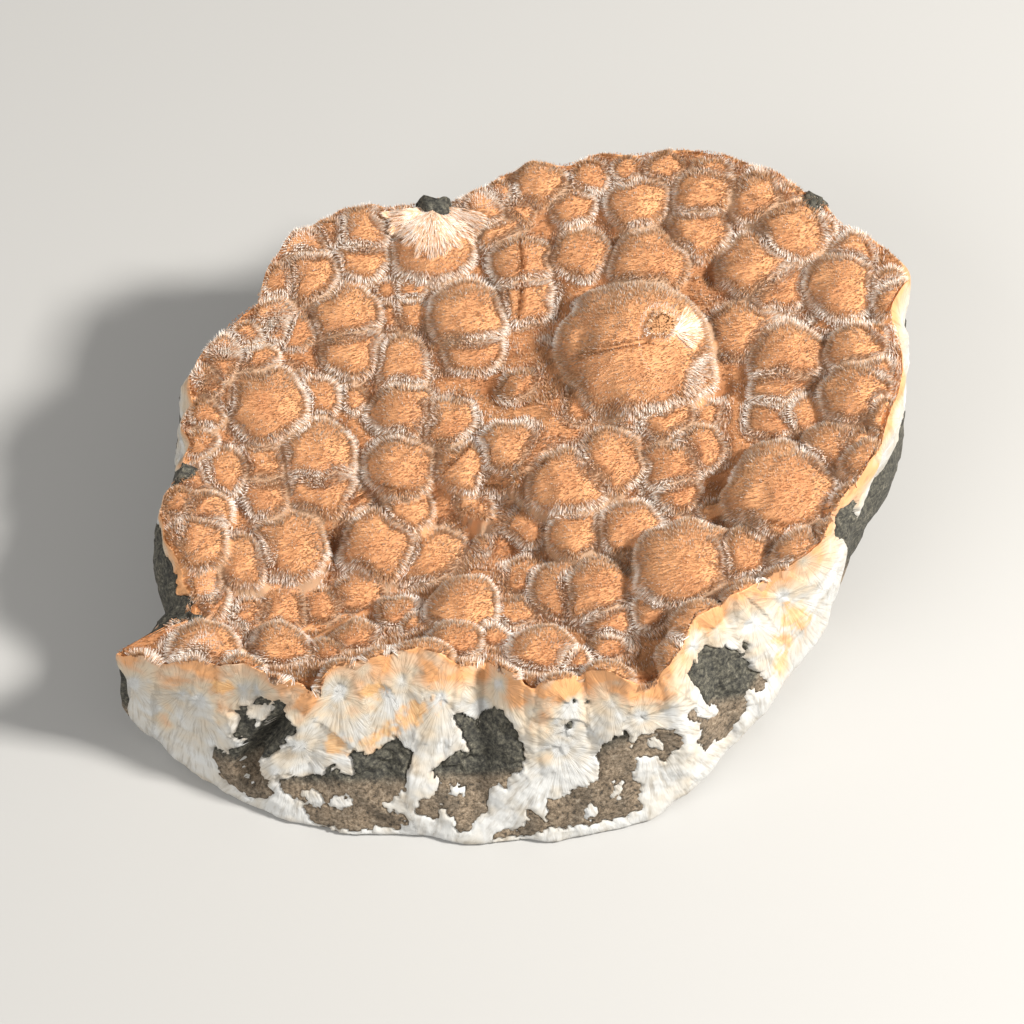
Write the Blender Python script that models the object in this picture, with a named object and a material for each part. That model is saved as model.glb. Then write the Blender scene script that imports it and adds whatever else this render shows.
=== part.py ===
"""A hand specimen of botryoidal thomsonite on basalt, lying on its flat underside.

A shallow bowl lined with orange balls of radiating needles opens upwards. Its front was broken off
in a sloping face, which cuts through the white roots of the crust and the dark host rock under it.
Sizes are millimetres, turned to metres when a mesh is made. +X is the specimen's right, +Y its back.
"""

import math

import bmesh
import bpy
import numpy as np

MM = 0.001
JOINT_GAP = 0.3

# The bowl faces up and a little forwards. Places on it are measured in the plane square to this
# direction, as distances across and up, with the middle of the specimen near the zero point.
FACING = math.radians(58)
MIDDLE_X, MIDDLE_Y = 0.0, -12.0

# The part's origin is at the middle of its box, on the ground. These are that point's x and y here.
ORIGIN_X, ORIGIN_Y = 1.1, -6.6

# The rim of the bowl, from the right-hand side round by the back: x, y and height.
RIM = [
    (62, 5, 35), (61, 16, 36), (64, 22, 36), (63.5, 26, 36), (58.5, 30, 36), (54, 33, 37),
    (51, 37, 37), (44.5, 42, 37), (37, 45, 38), (27, 47, 38), (20.5, 46.5, 37), (9.5, 45, 37),
    (3, 44.5, 37), (-3.5, 41.5, 36), (-9, 38.5, 36), (-12, 36, 36), (-20.5, 37, 36), (-27, 36, 36),
    (-35.5, 32.5, 35), (-39.5, 26, 35), (-40.5, 19.5, 34), (-44.5, 15.5, 34), (-49, 10.5, 34),
    (-52, 4.5, 34), (-51.5, 0.5, 33), (-53, -3.5, 33), (-52, -6.5, 32), (-53, -12, 31),
    (-56, -18.5, 30), (-55.5, -23, 30), (-51, -31, 28), (-52, -36, 26), (-62.5, -42, 24),
    (-58, -43.5, 24), (-50, -44.5, 25), (-42, -45.5, 26), (-38.5, -46.5, 27), (-31.5, -49.5, 28),
    (-26, -45.5, 28), (-14.5, -44, 29), (-8, -46, 29), (-4, -44.5, 29), (3, -50, 29), (11.5, -48, 29),
    (17.5, -49.5, 29), (24.5, -47.5, 29), (28.5, -39.5, 31), (33.5, -36.5, 32), (40, -32.5, 33),
    (46, -29.5, 33), (48.5, -26.5, 33), (50.5, -20.5, 34), (54.5, -15.5, 34), (57.5, -11, 34),
    (59.5, -6, 35), (61, 0, 35),
]  # fmt: skip

# The widest line below the rim, where the broken sides turn under: x, y and height.
FOOT = [
    (64, 9, 26), (64.5, 20, 28), (65.5, 25, 28), (59, 32, 24), (48, 42, 20), (30, 49, 18), (10, 48, 17),
    (-10, 42, 16), (-30, 39, 16), (-44, 22, 16), (-52, 10, 16), (-55, -5, 15), (-57.5, -19, 17),
    (-55, -30, 18), (-63, -41.5, 20), (-61.5, -42.5, 14), (-59.5, -44, 9), (-55.5, -47, 5),
    (-50, -51, 2.5), (-43.5, -54.5, 1.5), (-35.5, -58, 1), (-27.5, -60.5, 1), (-18, -61.5, 1),
    (-8, -62, 1), (1.5, -62, 1), (11, -61, 1), (20.5, -58, 1.5), (28.5, -54.5, 3), (35.5, -46, 8),
    (41.5, -40, 12), (46, -33.5, 15), (50, -28, 18), (54, -20.5, 23), (55.5, -15, 25), (58, -10.5, 26),
    (61, -5, 26), (63, 2, 26),
]  # fmt: skip

# How far the flat underside stays inside the widest line, for each millimetre that line is above it.
TUCK_PER_HEIGHT = 0.62
TUCK_LEAST = 1.5

# The bowl's floor lies this far under its rim, and rises to it in the last third.
BOWL_DEPTH = 9.0
BOWL_FLATNESS = 3.4

# The balls of the lining: distance across, distance up, radius and how far the ball stands proud.
BALLS = [
    (4.5, 55.5, 4.5, 0), (10, 52, 4, 0), (20.5, 53, 5, 0), (31.5, 54.5, 5, 0), (31, 48, 5, 0),
    (40.5, 53.5, 4.5, 0), (46, 48, 5.5, 0), (11.5, 44, 5, 0), (22.5, 43, 6, 0.5), (-2.5, 47, 3.5, 0),
    (1, 51.5, 3.5, 0), (-5, 51.5, 4, 0), (-13, 46.5, 7, -1), (-24.5, 48, 4.5, 0), (-25, 43.5, 4.5, 0),
    (-33, 40.5, 5, 0), (-27, 34, 5.5, 0.5), (-26, 28.5, 5, 0.5), (-35.5, 30.5, 3.5, -0.5),
    (-39, 32, 3.5, -0.5), (-20, 37.5, 3, -1), (-20, 33, 3.5, -1), (-16, 37, 3, -0.5), (-16, 33.5, 3.5, -0.5),
    (-7, 34, 6, 1), (-6.5, 28.5, 5, 0.5), (-13, 26, 3.5, -0.5), (1.5, 42.5, 5, 0.5), (2, 36.5, 5, 0),
    (7, 28.5, 4, -2), (1, 26.5, 3, -1.5), (1.5, 21.5, 3.5, -0.5), (6.5, 19.5, 2.5, -1), (11, 19, 4, -1),
    (20, 30.5, 11, 2), (26, 25.5, 6, 2.5), (40, 42.5, 6, 0), (33, 39.5, 4, -2.5), (43.5, 38.5, 5, 0),
    (54, 39, 6, 0), (62, 36, 3.5, 0), (38, 31.5, 6, -0.5), (44.5, 27.5, 6, 0.5), (44, 22.5, 5, 0),
    (56, 28, 5, 0), (56, 20.5, 6, 0), (51, 32, 3, -1), (32.5, 22, 4.5, -3), (31.5, 17, 3.5, -0.5),
    (24.5, 18, 5.5, 0), (19, 17, 4.5, -0.5), (30, 12, 4.5, 0), (26, 9, 5, 0), (27, 4.5, 4, 0),
    (15.5, 10.5, 5.5, 0.5), (9, 7.5, 6, 0.5), (19.5, 4.5, 3, -1), (19, -0.5, 5, 0), (28, -6, 7.5, 1),
    (37, -5.5, 5, 0), (33, 0.5, 3.5, -1), (33, 5, 4, -2.5), (43.5, 6, 8.5, 0.5), (43, 16.5, 5, -1),
    (47, 17, 3.5, 0), (52, 12, 5, 0), (57.5, 9, 4.5, 0), (60, 16.5, 3.5, 0), (46, -5, 4, -0.5),
    (-42, 26, 4, 0), (-40, 19.5, 6.5, 0.5), (-46.5, 25.5, 3.5, 0), (-47.5, 20, 3.5, -1), (-50, 22.5, 2.5, 0),
    (-31.5, 20, 4, 0), (-26, 19.5, 3, 0), (-35.5, 21.5, 3, -0.5), (-23.5, 22.5, 2, -0.5),
    (-17.5, 26, 5, 0), (-17.5, 18, 5.5, 0.5), (-10, 16, 4.5, 0.5), (-3.5, 20, 4, -3), (-31.5, 11.5, 6, 0.5),
    (-31, 6.5, 5.5, 0.5), (-18, 9.5, 5.5, 0.5), (-7.5, 9.5, 4.5, 0), (0, 12, 4.5, 0), (0.5, 4, 4, 0),
    (-6, 2.5, 3, -0.5), (-46.5, 8, 4.5, 0), (-40.5, 9, 4.5, 0), (-40, 4.5, 4.5, 0.5), (-50, 1.5, 4.5, 0),
    (-50.5, -3, 5, 0), (-43, -6, 4.5, 0), (-36, -3.5, 6, 0.5), (-37, -14, 4.5, 0), (-42.5, -15.5, 3.5, -0.5),
    (-36.5, -20.5, 5, 0), (-30.5, -13.5, 4, -0.5), (-24.5, -12, 4.5, 0), (-21.5, -2.5, 6, 0.5),
    (-26.5, 3.5, 3.5, 0), (-17, 2.5, 4, 0.5), (-13.5, -5.5, 6, 1), (-7.5, -13.5, 5.5, 0.5),
    (-9, -19.5, 4.5, 0), (-18, -15.5, 4, -0.5), (-15, -18, 3, -1), (-24.5, -19.5, 4, -0.5),
    (-29, -22, 3.5, -1), (-48.5, -20.5, 5.5, 0), (-48, -12.5, 3.5, -0.5), (-3.5, -5.5, 3.5, -1.5),
    (3, -0.5, 4.5, -1), (10.5, -1.5, 4.5, 0), (2, -9.5, 5, -1.5), (8.5, -11, 5.5, 0.5), (14, -10.5, 6, 1),
    (16, -16, 4.5, 0), (0.5, -15.5, 4, -1), (-3.5, -19.5, 3, -0.5), (4.5, -21, 5.5, 0), (10, -23, 3, 0),
    (15.5, -21, 3.5, -0.5), (23, -15, 4, -1),
]  # fmt: skip

# The pale balls cut through along the broken front edge, in the same four measures.
EDGE_BALLS = [
    (-58, -24, 4, 0), (-50, -24.5, 4.5, 0), (-42.5, -24.5, 4, 0), (-37.5, -26.5, 3, 0), (-26, -25, 4, 0),
    (-20.5, -23.5, 3.5, 0), (-14, -23, 5, 0), (-6.5, -25.5, 3.5, 0), (-2, -25, 3, 0), (7.5, -27.5, 4, 0),
    (15, -26, 4.5, 0), (22, -28, 4, 0), (27, -22, 4, 0), (30, -16.5, 4.5, 0), (37, -13, 4, 0),
    (43, -10, 4, 0), (48, -8, 3.5, 0), (51.5, -3, 4, 0), (54.5, 2.5, 3.5, 0),
]  # fmt: skip

# How deep a ball's middle lies under the bowl, as a share of its radius, how far it spreads under its
# neighbours, how square its profile is, and how far the creases are rounded out. Between the balls
# the crust stands FLOOR_RISE over the bowl, and WANDER is how far their outlines stray from circles.
BALL_SINK = 0.3
BALL_SPREAD = 1.22
BALL_ROUNDNESS = 2.2
CREASE_SOFTNESS = 0.9
FLOOR_RISE = 0.9
WANDER = 0.75
EVENED_OVER = (-8, -4, 0, 4, 8)

# The top of the basalt where it meets the broken sides: direction in degrees, and height. It stands
# up in patches, and between the patches the white crust reaches the underside.
BASALT_EDGE = [
    (0, 24), (8, 21), (20, 25), (30, 23), (40, 27), (44, 35), (48, 35), (52, 27), (64, 24), (78, 27),
    (90, 25), (99, 28), (102, 38), (107, 38.5), (110, 28), (122, 25), (138, 27), (152, 24), (166, 26),
    (176, 24), (178, 30.5), (181, 30.5), (184, 22), (194, 20), (202, 21), (204.5, 25), (206, 10),
    (210, -3), (216, -3), (218.5, 16), (222, 22.5), (226, 22), (229, 15), (230.5, -3), (232, -3),
    (234, 7), (239, 12), (242.5, 15.5), (245.5, 16), (247.5, 6), (248.5, -3), (250, -3), (251.5, 9),
    (256, 14), (259, 13), (262, 18), (266.5, 20), (270.5, 15), (273.5, 3), (275, -3), (279, -3),
    (282, 3), (288, 6), (293, 10), (299, 14), (303.5, 18), (306.5, 16), (308.5, -3), (310, -3),
    (312, 19), (315, 25), (318, 25), (321, 16), (323.5, -3), (346, -3), (349, 14), (350.5, 32),
    (354.5, 32), (356, 22),
]  # fmt: skip
BASALT_CORE = 12.0
BASALT_SWELL = 1.6

# Except at the very rim, the crust over the basalt is at least this thick.
CRUST_LEAST = 5.5

CRUST_COLOR = (0.80, 0.44, 0.22, 1.0)
BASALT_COLOR = (0.055, 0.052, 0.045, 1.0)


def around(points, angle):
    """Radius from the middle and height, at each angle, of a closed line given by x, y and height."""
    x, y, z = np.array(points, float).T
    where = np.arctan2(y - MIDDLE_Y, x - MIDDLE_X)
    order = np.argsort(where)
    radius = np.hypot(x - MIDDLE_X, y - MIDDLE_Y)
    return (
        np.interp(angle, where[order], radius[order], period=2 * np.pi),
        np.interp(angle, where[order], z[order], period=2 * np.pi),
    )


def rock_noise(x, y, z, size, seed):
    """Smooth random bumps between -1 and 1: values on a cubic lattice, blended between its points."""
    lattice = np.random.default_rng(seed).uniform(-1, 1, (32, 32, 32))
    total = 0.0
    spots = [np.asarray(v, float) / size + 16.0 for v in (x, y, z)]
    low = [np.floor(v).astype(int) for v in spots]
    part = [(v - k) ** 2 * (3 - 2 * (v - k)) for v, k in zip(spots, low)]
    for corner in np.ndindex(2, 2, 2):
        weight = 1.0
        index = []
        for step, k, share in zip(corner, low, part):
            weight = weight * (share if step else 1 - share)
            index.append((k + step) % 32)
        total = total + weight * lattice[tuple(index)]
    return total


def bowl_share(x, y):
    """How far out a place lies, as a share of the rim's distance evened over some degrees, and the
    rim's height evened in the same way."""
    angle = np.arctan2(y - MIDDLE_Y, x - MIDDLE_X)
    evened = np.mean([around(RIM, angle + math.radians(turn)) for turn in EVENED_OVER], 0)
    return np.minimum(np.hypot(x - MIDDLE_X, y - MIDDLE_Y) / evened[0], 1.0), evened[1]


def bowl_height(x, y):
    """The bowl without its balls: the rim's height less the depth, which fades towards the rim."""
    share, rim_height = bowl_share(x, y)
    return rim_height - BOWL_DEPTH * (1 - share**BOWL_FLATNESS)


def on_the_bowl(across, up, lift):
    """The y at which the sight line through a place across and up meets the bowl, raised by lift."""
    y = up / math.sin(FACING)
    for _ in range(12):
        seen = (up - (bowl_height(across, y) + lift) * math.cos(FACING)) / math.sin(FACING)
        y = 0.5 * (y + seen)
    return y


def placed_balls():
    """Each ball's x, y, height at its equator and radius."""
    across, up, radius, proud = np.array(BALLS + EDGE_BALLS, float).T
    y = on_the_bowl(across, up, proud + radius * (1 - BALL_SINK))
    return across, y, bowl_height(across, y) + proud - BALL_SINK * radius, BALL_SPREAD * radius


def lining_height(x, y):
    """The lining: at every place the highest of the balls and the bowl, softened in the creases."""
    surface = bowl_height(x, y) + FLOOR_RISE * (1 - bowl_share(x, y)[0] ** 6)
    stray = [WANDER * rock_noise(x, y, 0 * x, 3.1, seed) for seed in (11, 12)]
    x, y = x + stray[0], y + stray[1]
    for ball_x, ball_y, height, radius in zip(*placed_balls()):
        share = np.hypot(x - ball_x, y - ball_y) / radius
        near = share < 1
        fall = np.clip(1 - share[near] ** BALL_ROUNDNESS, 0, 1) ** (1 / BALL_ROUNDNESS)
        cap = height + radius / BALL_SPREAD * fall
        gap = surface[near] - cap
        surface[near] = 0.5 * (surface[near] + cap + np.sqrt(gap**2 + CREASE_SOFTNESS**2))
    return surface


def made_object(name, points, faces):
    """A mesh object of points in millimetres, with its faces turned outwards."""
    mesh = bpy.data.meshes.new(name)
    placed = (np.asarray(points) - (ORIGIN_X, ORIGIN_Y, 0)) * MM
    mesh.from_pydata(placed.tolist(), [], [list(map(int, corners)) for corners in faces])
    work = bmesh.new()
    work.from_mesh(mesh)
    bmesh.ops.triangulate(work, faces=work.faces)
    bmesh.ops.recalc_face_normals(work, faces=work.faces)
    work.to_mesh(mesh)
    work.free()
    made = bpy.data.objects.new(name, mesh)
    bpy.context.scene.collection.objects.link(made)
    return made


def ring_faces(rings, columns):
    """Quads between rings of points, listed ring by ring, with fans to a first and a last point."""
    ring, column = np.mgrid[: rings - 1, :columns]
    beside = (column + 1) % columns
    quads = np.stack(
        [ring * columns + column, ring * columns + beside, (ring + 1) * columns + beside,
         (ring + 1) * columns + column], -1,
    ).reshape(-1, 4)  # fmt: skip
    first, last = rings * columns, rings * columns + 1
    start = [(first, (k + 1) % columns, k) for k in range(columns)]
    tail = (rings - 1) * columns
    end = [(last, tail + k, tail + (k + 1) % columns) for k in range(columns)]
    return [*quads.tolist(), *start, *end]


def stone_block(name, columns=84):
    """The whole specimen's sides and underside, as rings carried down from above the rim."""
    angle = np.linspace(0, 2 * np.pi, columns, endpoint=False)
    rim_radius, rim_height = around(RIM, angle)
    foot_radius, foot_height = around(FOOT, angle)
    rings = [(rim_radius, np.full(columns, 60.0)), (rim_radius, rim_height)]
    for share in (0.25, 0.5, 0.75, 1.0):
        radius = rim_radius + share * (foot_radius - rim_radius) + 0.6 * math.sin(math.pi * share)
        rings.append((radius, rim_height + share * (foot_height - rim_height)))
    tuck = TUCK_LEAST + TUCK_PER_HEIGHT * foot_height
    for share in (0.4, 0.75):
        drop = math.sqrt(1 - (1 - share) ** 2)
        rings.append((foot_radius - tuck * share**2, foot_height * (1 - drop)))
    rings.append((foot_radius - tuck, np.full(columns, -2.0)))

    points = []
    for radius, height in rings:
        x = MIDDLE_X + radius * np.cos(angle)
        y = MIDDLE_Y + radius * np.sin(angle)
        rough = 0.8 * rock_noise(x, y, height, 7.0, 3) + 0.4 * rock_noise(x, y, height, 3.0, 4)
        rough = np.where(height > 50, 0.8 * rock_noise(x, y, rim_height, 7.0, 3), rough)
        x, y = x + rough * np.cos(angle), y + rough * np.sin(angle)
        points += list(zip(x, y, height))
    points += [(MIDDLE_X, MIDDLE_Y, 60.0), (MIDDLE_X, MIDDLE_Y, -2.0)]
    return made_object(name, points, ring_faces(len(rings), columns))


def lining_block(name, pitch=1.4, kept=0.25):
    """Everything under the lining, as a grid of heights with straight sides and a flat bottom."""
    xs = np.arange(-70, 72, pitch)
    ys = np.arange(-68, 54, pitch)
    x, y = np.meshgrid(xs, ys)
    top = np.stack([x, y, lining_height(x, y)], -1).reshape(-1, 3)
    across, along = len(xs), len(ys)
    row, column = np.mgrid[: along - 1, : across - 1]
    corner = (row * across + column).ravel()
    faces = np.stack([corner, corner + 1, corner + across + 1, corner + across], -1).tolist()
    border = (
        list(range(across))
        + [r * across + across - 1 for r in range(1, along)]
        + [(along - 1) * across + c for c in range(across - 2, -1, -1)]
        + [r * across for r in range(along - 2, 0, -1)]
    )
    low = top[border] * (1, 1, 0) + (0, 0, -6.0)
    count = len(top)
    for k in range(len(border)):
        beside = (k + 1) % len(border)
        faces.append([border[k], border[beside], count + beside, count + k])
    faces.append([count + k for k in range(len(border))])
    block = made_object(name, np.vstack([top, low]), faces)
    thin = block.modifiers.new("fewer faces", "DECIMATE")
    thin.ratio = kept
    return block


def basalt_height(angle, share):
    """The top of the basalt: its edge heights near the sides, and a low swelling core inside."""
    edge = np.interp(np.degrees(angle) % 360, *np.array(BASALT_EDGE, float).T, period=360)
    rim_radius, _ = around(RIM, angle)
    x = MIDDLE_X + share * rim_radius * np.cos(angle)
    y = MIDDLE_Y + share * rim_radius * np.sin(angle)
    core = BASALT_CORE + BASALT_SWELL * rock_noise(x, y, 0 * x, 16.0, 5)
    height = core + np.clip((share - 0.6) / 0.28, 0, 1) * (edge - core)
    if share > 0.95:
        return height
    return np.minimum(height, bowl_height(x, y) - CRUST_LEAST)


def basalt_block(name, lift, columns=100):
    """Everything under the top of the basalt, which is raised by lift."""
    angle = np.linspace(0, 2 * np.pi, columns, endpoint=False)
    rim_radius, _ = around(RIM, angle)
    foot_radius, _ = around(FOOT, angle)
    outside = 1.3 * foot_radius
    rings = [(outside, np.full(columns, -8.0)), (outside, basalt_height(angle, 1.0) + lift)]
    for share in (0.96, 0.88, 0.74, 0.6, 0.3):
        rings.append((share * rim_radius, basalt_height(angle, share) + lift))
    points = []
    for radius, height in rings:
        x = MIDDLE_X + radius * np.cos(angle)
        y = MIDDLE_Y + radius * np.sin(angle)
        points += list(zip(x, y, height))
    points += [(MIDDLE_X, MIDDLE_Y, -8.0), (MIDDLE_X, MIDDLE_Y, BASALT_CORE + lift)]
    return made_object(name, points, ring_faces(len(rings), columns))


def ground_block(name):
    """The half space under the specimen, which cuts its underside flat."""
    corners = [(x, y, z) for z in (-20.0, 0.0) for y in (-90.0, 90.0) for x in (-90.0, 90.0)]
    faces = [(0, 1, 3, 2), (4, 5, 7, 6), (0, 1, 5, 4), (2, 3, 7, 6), (0, 2, 6, 4), (1, 3, 7, 5)]
    return made_object(name, corners, faces)


def cut(target, tool, operation):
    """Adds a live Boolean to target and hides its tool from the model."""
    step = target.modifiers.new(f"{operation.lower()} {tool.name}", "BOOLEAN")
    step.operation = operation
    step.object = tool
    step.solver = "EXACT"
    tool.hide_render = True
    tool.display_type = "WIRE"


def finish_material(made, color, roughness):
    """Gives an object its own Principled material."""
    material = bpy.data.materials.new(made.name)
    material.use_nodes = True
    shader = material.node_tree.nodes["Principled BSDF"]
    shader.inputs["Base Color"].default_value = color
    shader.inputs["Roughness"].default_value = roughness
    shader.inputs["Metallic"].default_value = 0.0
    made.data.materials.append(material)


for old in list(bpy.data.objects):
    bpy.data.objects.remove(old, do_unlink=True)

lining = lining_block("under_the_lining")
ground = ground_block("ground")
basalt_top = basalt_block("under_the_basalt_top", 0.0)
crust_foot = basalt_block("under_the_crust", JOINT_GAP)

crust = stone_block("thomsonite_crust")
cut(crust, lining, "INTERSECT")
cut(crust, crust_foot, "DIFFERENCE")
cut(crust, ground, "DIFFERENCE")
finish_material(crust, CRUST_COLOR, 0.6)

matrix = stone_block("basalt_matrix")
cut(matrix, basalt_top, "INTERSECT")
cut(matrix, ground, "DIFFERENCE")
finish_material(matrix, BASALT_COLOR, 0.8)
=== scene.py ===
"""A thomsonite hand specimen: a bowl of velvety orange balls on white roots and dark basalt.

Sizes are millimetres and turned to metres when a mesh is made, in the same places as in the model.
"""

import math

import bpy
import numpy as np
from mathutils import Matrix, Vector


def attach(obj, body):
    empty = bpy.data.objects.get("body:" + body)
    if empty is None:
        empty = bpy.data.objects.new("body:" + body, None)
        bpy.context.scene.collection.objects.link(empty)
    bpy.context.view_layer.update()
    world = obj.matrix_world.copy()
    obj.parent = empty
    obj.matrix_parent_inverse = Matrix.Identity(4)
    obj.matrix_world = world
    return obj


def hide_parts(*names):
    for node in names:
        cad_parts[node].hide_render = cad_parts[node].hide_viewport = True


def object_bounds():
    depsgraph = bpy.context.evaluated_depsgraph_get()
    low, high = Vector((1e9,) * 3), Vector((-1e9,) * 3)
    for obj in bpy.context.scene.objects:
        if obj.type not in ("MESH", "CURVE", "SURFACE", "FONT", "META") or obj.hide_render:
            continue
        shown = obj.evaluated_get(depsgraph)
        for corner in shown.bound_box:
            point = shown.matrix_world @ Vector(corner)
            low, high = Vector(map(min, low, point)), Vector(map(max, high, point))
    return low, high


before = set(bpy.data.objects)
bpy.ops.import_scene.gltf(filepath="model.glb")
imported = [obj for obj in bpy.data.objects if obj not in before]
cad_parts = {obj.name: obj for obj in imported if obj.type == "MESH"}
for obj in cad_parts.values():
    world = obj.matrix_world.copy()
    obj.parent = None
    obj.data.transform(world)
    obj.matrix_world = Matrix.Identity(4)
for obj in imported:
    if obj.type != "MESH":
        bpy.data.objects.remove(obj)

cad_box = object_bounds()

MM = 0.001

# The camera looks down on the bowl from the front, square to the way the bowl faces. It stands well
# back with a long lens, so that the far balls look as large as the near ones.
FACING = math.radians(58)
CAMERA_AWAY = 900.0
CAMERA_AT = np.array((-1.1, -9.0, 25.0))
FRAME_WIDTH = 163.84
SENSOR = 36.0

view = bpy.data.cameras.new("camera")
view.sensor_width = SENSOR
view.lens = SENSOR * CAMERA_AWAY / FRAME_WIDTH
view.clip_start = 0.01
camera = bpy.data.objects.new("camera", view)
outward = np.array((0.0, -math.cos(FACING), math.sin(FACING)))
camera.location = (CAMERA_AT + CAMERA_AWAY * outward) * MM
camera.rotation_euler = (math.pi / 2 - FACING, 0, 0)
bpy.context.scene.collection.objects.link(camera)
bpy.context.scene.camera = camera

# The light is one small soft box high at the right, a wide weak one at the left, and pale air all
# round. The floor is a plain pale board.
AIR_COLOR = (1.0, 0.97, 0.94)
AIR_STRENGTH = 0.33
BOARD_COLOR = (0.42, 0.42, 0.41)
FLOOR_SIDE = 3000.0
bpy.context.scene.view_settings.view_transform = "Standard"
air = bpy.data.worlds.new("air")
air.use_nodes = True
air.node_tree.nodes["Background"].inputs["Color"].default_value = (*AIR_COLOR, 1)
air.node_tree.nodes["Background"].inputs["Strength"].default_value = AIR_STRENGTH
bpy.context.scene.world = air


def soft_box(name, place, aim, side, power, color):
    """A square area light at place, turned to face aim."""
    lamp = bpy.data.lights.new(name, "AREA")
    lamp.size = side * MM
    lamp.energy = power
    lamp.color = color
    holder = bpy.data.objects.new(name, lamp)
    away = np.subtract(place, aim)
    turn = math.atan2(away[1], away[0]) + math.pi / 2
    lean = math.atan2(math.hypot(away[0], away[1]), away[2])
    holder.location = np.multiply(place, MM)
    holder.rotation_euler = (lean, 0, turn)
    bpy.context.scene.collection.objects.link(holder)


soft_box(
    "key light", place=(470, -80, 510), aim=(0, 0, 25), side=110, power=9.0, color=(1.0, 0.96, 0.91),
)
soft_box(
    "fill light", place=(-450, -350, 500), aim=(0, 0, 20), side=500, power=2.9,
    color=(1.0, 0.98, 0.96),
)

floor_mesh = bpy.data.meshes.new("floor")
floor_half = FLOOR_SIDE / 2 * MM
floor_mesh.from_pydata(
    [(-floor_half, -floor_half, 0), (floor_half, -floor_half, 0), (floor_half, floor_half, 0),
     (-floor_half, floor_half, 0)], [], [(0, 1, 2, 3)],
)
floor = bpy.data.objects.new("floor", floor_mesh)
bpy.context.scene.collection.objects.link(floor)
board = bpy.data.materials.new("pale board")
board.use_nodes = True
board.node_tree.nodes["Principled BSDF"].inputs["Base Color"].default_value = (*BOARD_COLOR, 1)
board.node_tree.nodes["Principled BSDF"].inputs["Roughness"].default_value = 0.7
floor_mesh.materials.append(board)

# The lining: well over a hundred balls of needles, grown side by side in a shallow bowl. This is
# the orange body under the needles' tips. It is one crust, with the balls fused where they meet.
MIDDLE_X, MIDDLE_Y = 0.0, -12.0
ORIGIN = np.array((1.1, -6.6, 0.0))

# The rim is given by x, y and height. Balls are given by their place across and up the
# photograph's view, their radius, and how far they stand proud of the bowl, if they do.
RIM = [
    (62, 5, 35), (61, 16, 36), (64, 22, 36), (63.5, 26, 36), (58.5, 30, 36), (54, 33, 37),
    (51, 37, 37), (44.5, 42, 37), (37, 45, 38), (27, 47, 38), (20.5, 46.5, 37), (9.5, 45, 37),
    (3, 44.5, 37), (-3.5, 41.5, 36), (-9, 38.5, 36), (-12, 36, 36), (-20.5, 37, 36), (-27, 36, 36),
    (-35.5, 32.5, 35), (-39.5, 26, 35), (-40.5, 19.5, 34), (-44.5, 15.5, 34), (-49, 10.5, 34),
    (-52, 4.5, 34), (-51.5, 0.5, 33), (-53, -3.5, 33), (-52, -6.5, 32), (-53, -12, 31),
    (-56, -18.5, 30), (-55.5, -23, 30), (-51, -31, 28), (-52, -36, 26), (-62.5, -42, 24),
    (-58, -43.5, 24), (-50, -44.5, 25), (-42, -45.5, 26), (-38.5, -46.5, 27), (-31.5, -49.5, 28),
    (-26, -45.5, 28), (-14.5, -44, 29), (-8, -46, 29), (-4, -44.5, 29), (3, -50, 29), (11.5, -48, 29),
    (17.5, -49.5, 29), (24.5, -47.5, 29), (28.5, -39.5, 31), (33.5, -36.5, 32), (40, -32.5, 33),
    (46, -29.5, 33), (48.5, -26.5, 33), (50.5, -20.5, 34), (54.5, -15.5, 34), (57.5, -11, 34),
    (59.5, -6, 35), (61, 0, 35),
]
BOWL_DEPTH = 9.0
BOWL_FLATNESS = 3.4
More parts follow.
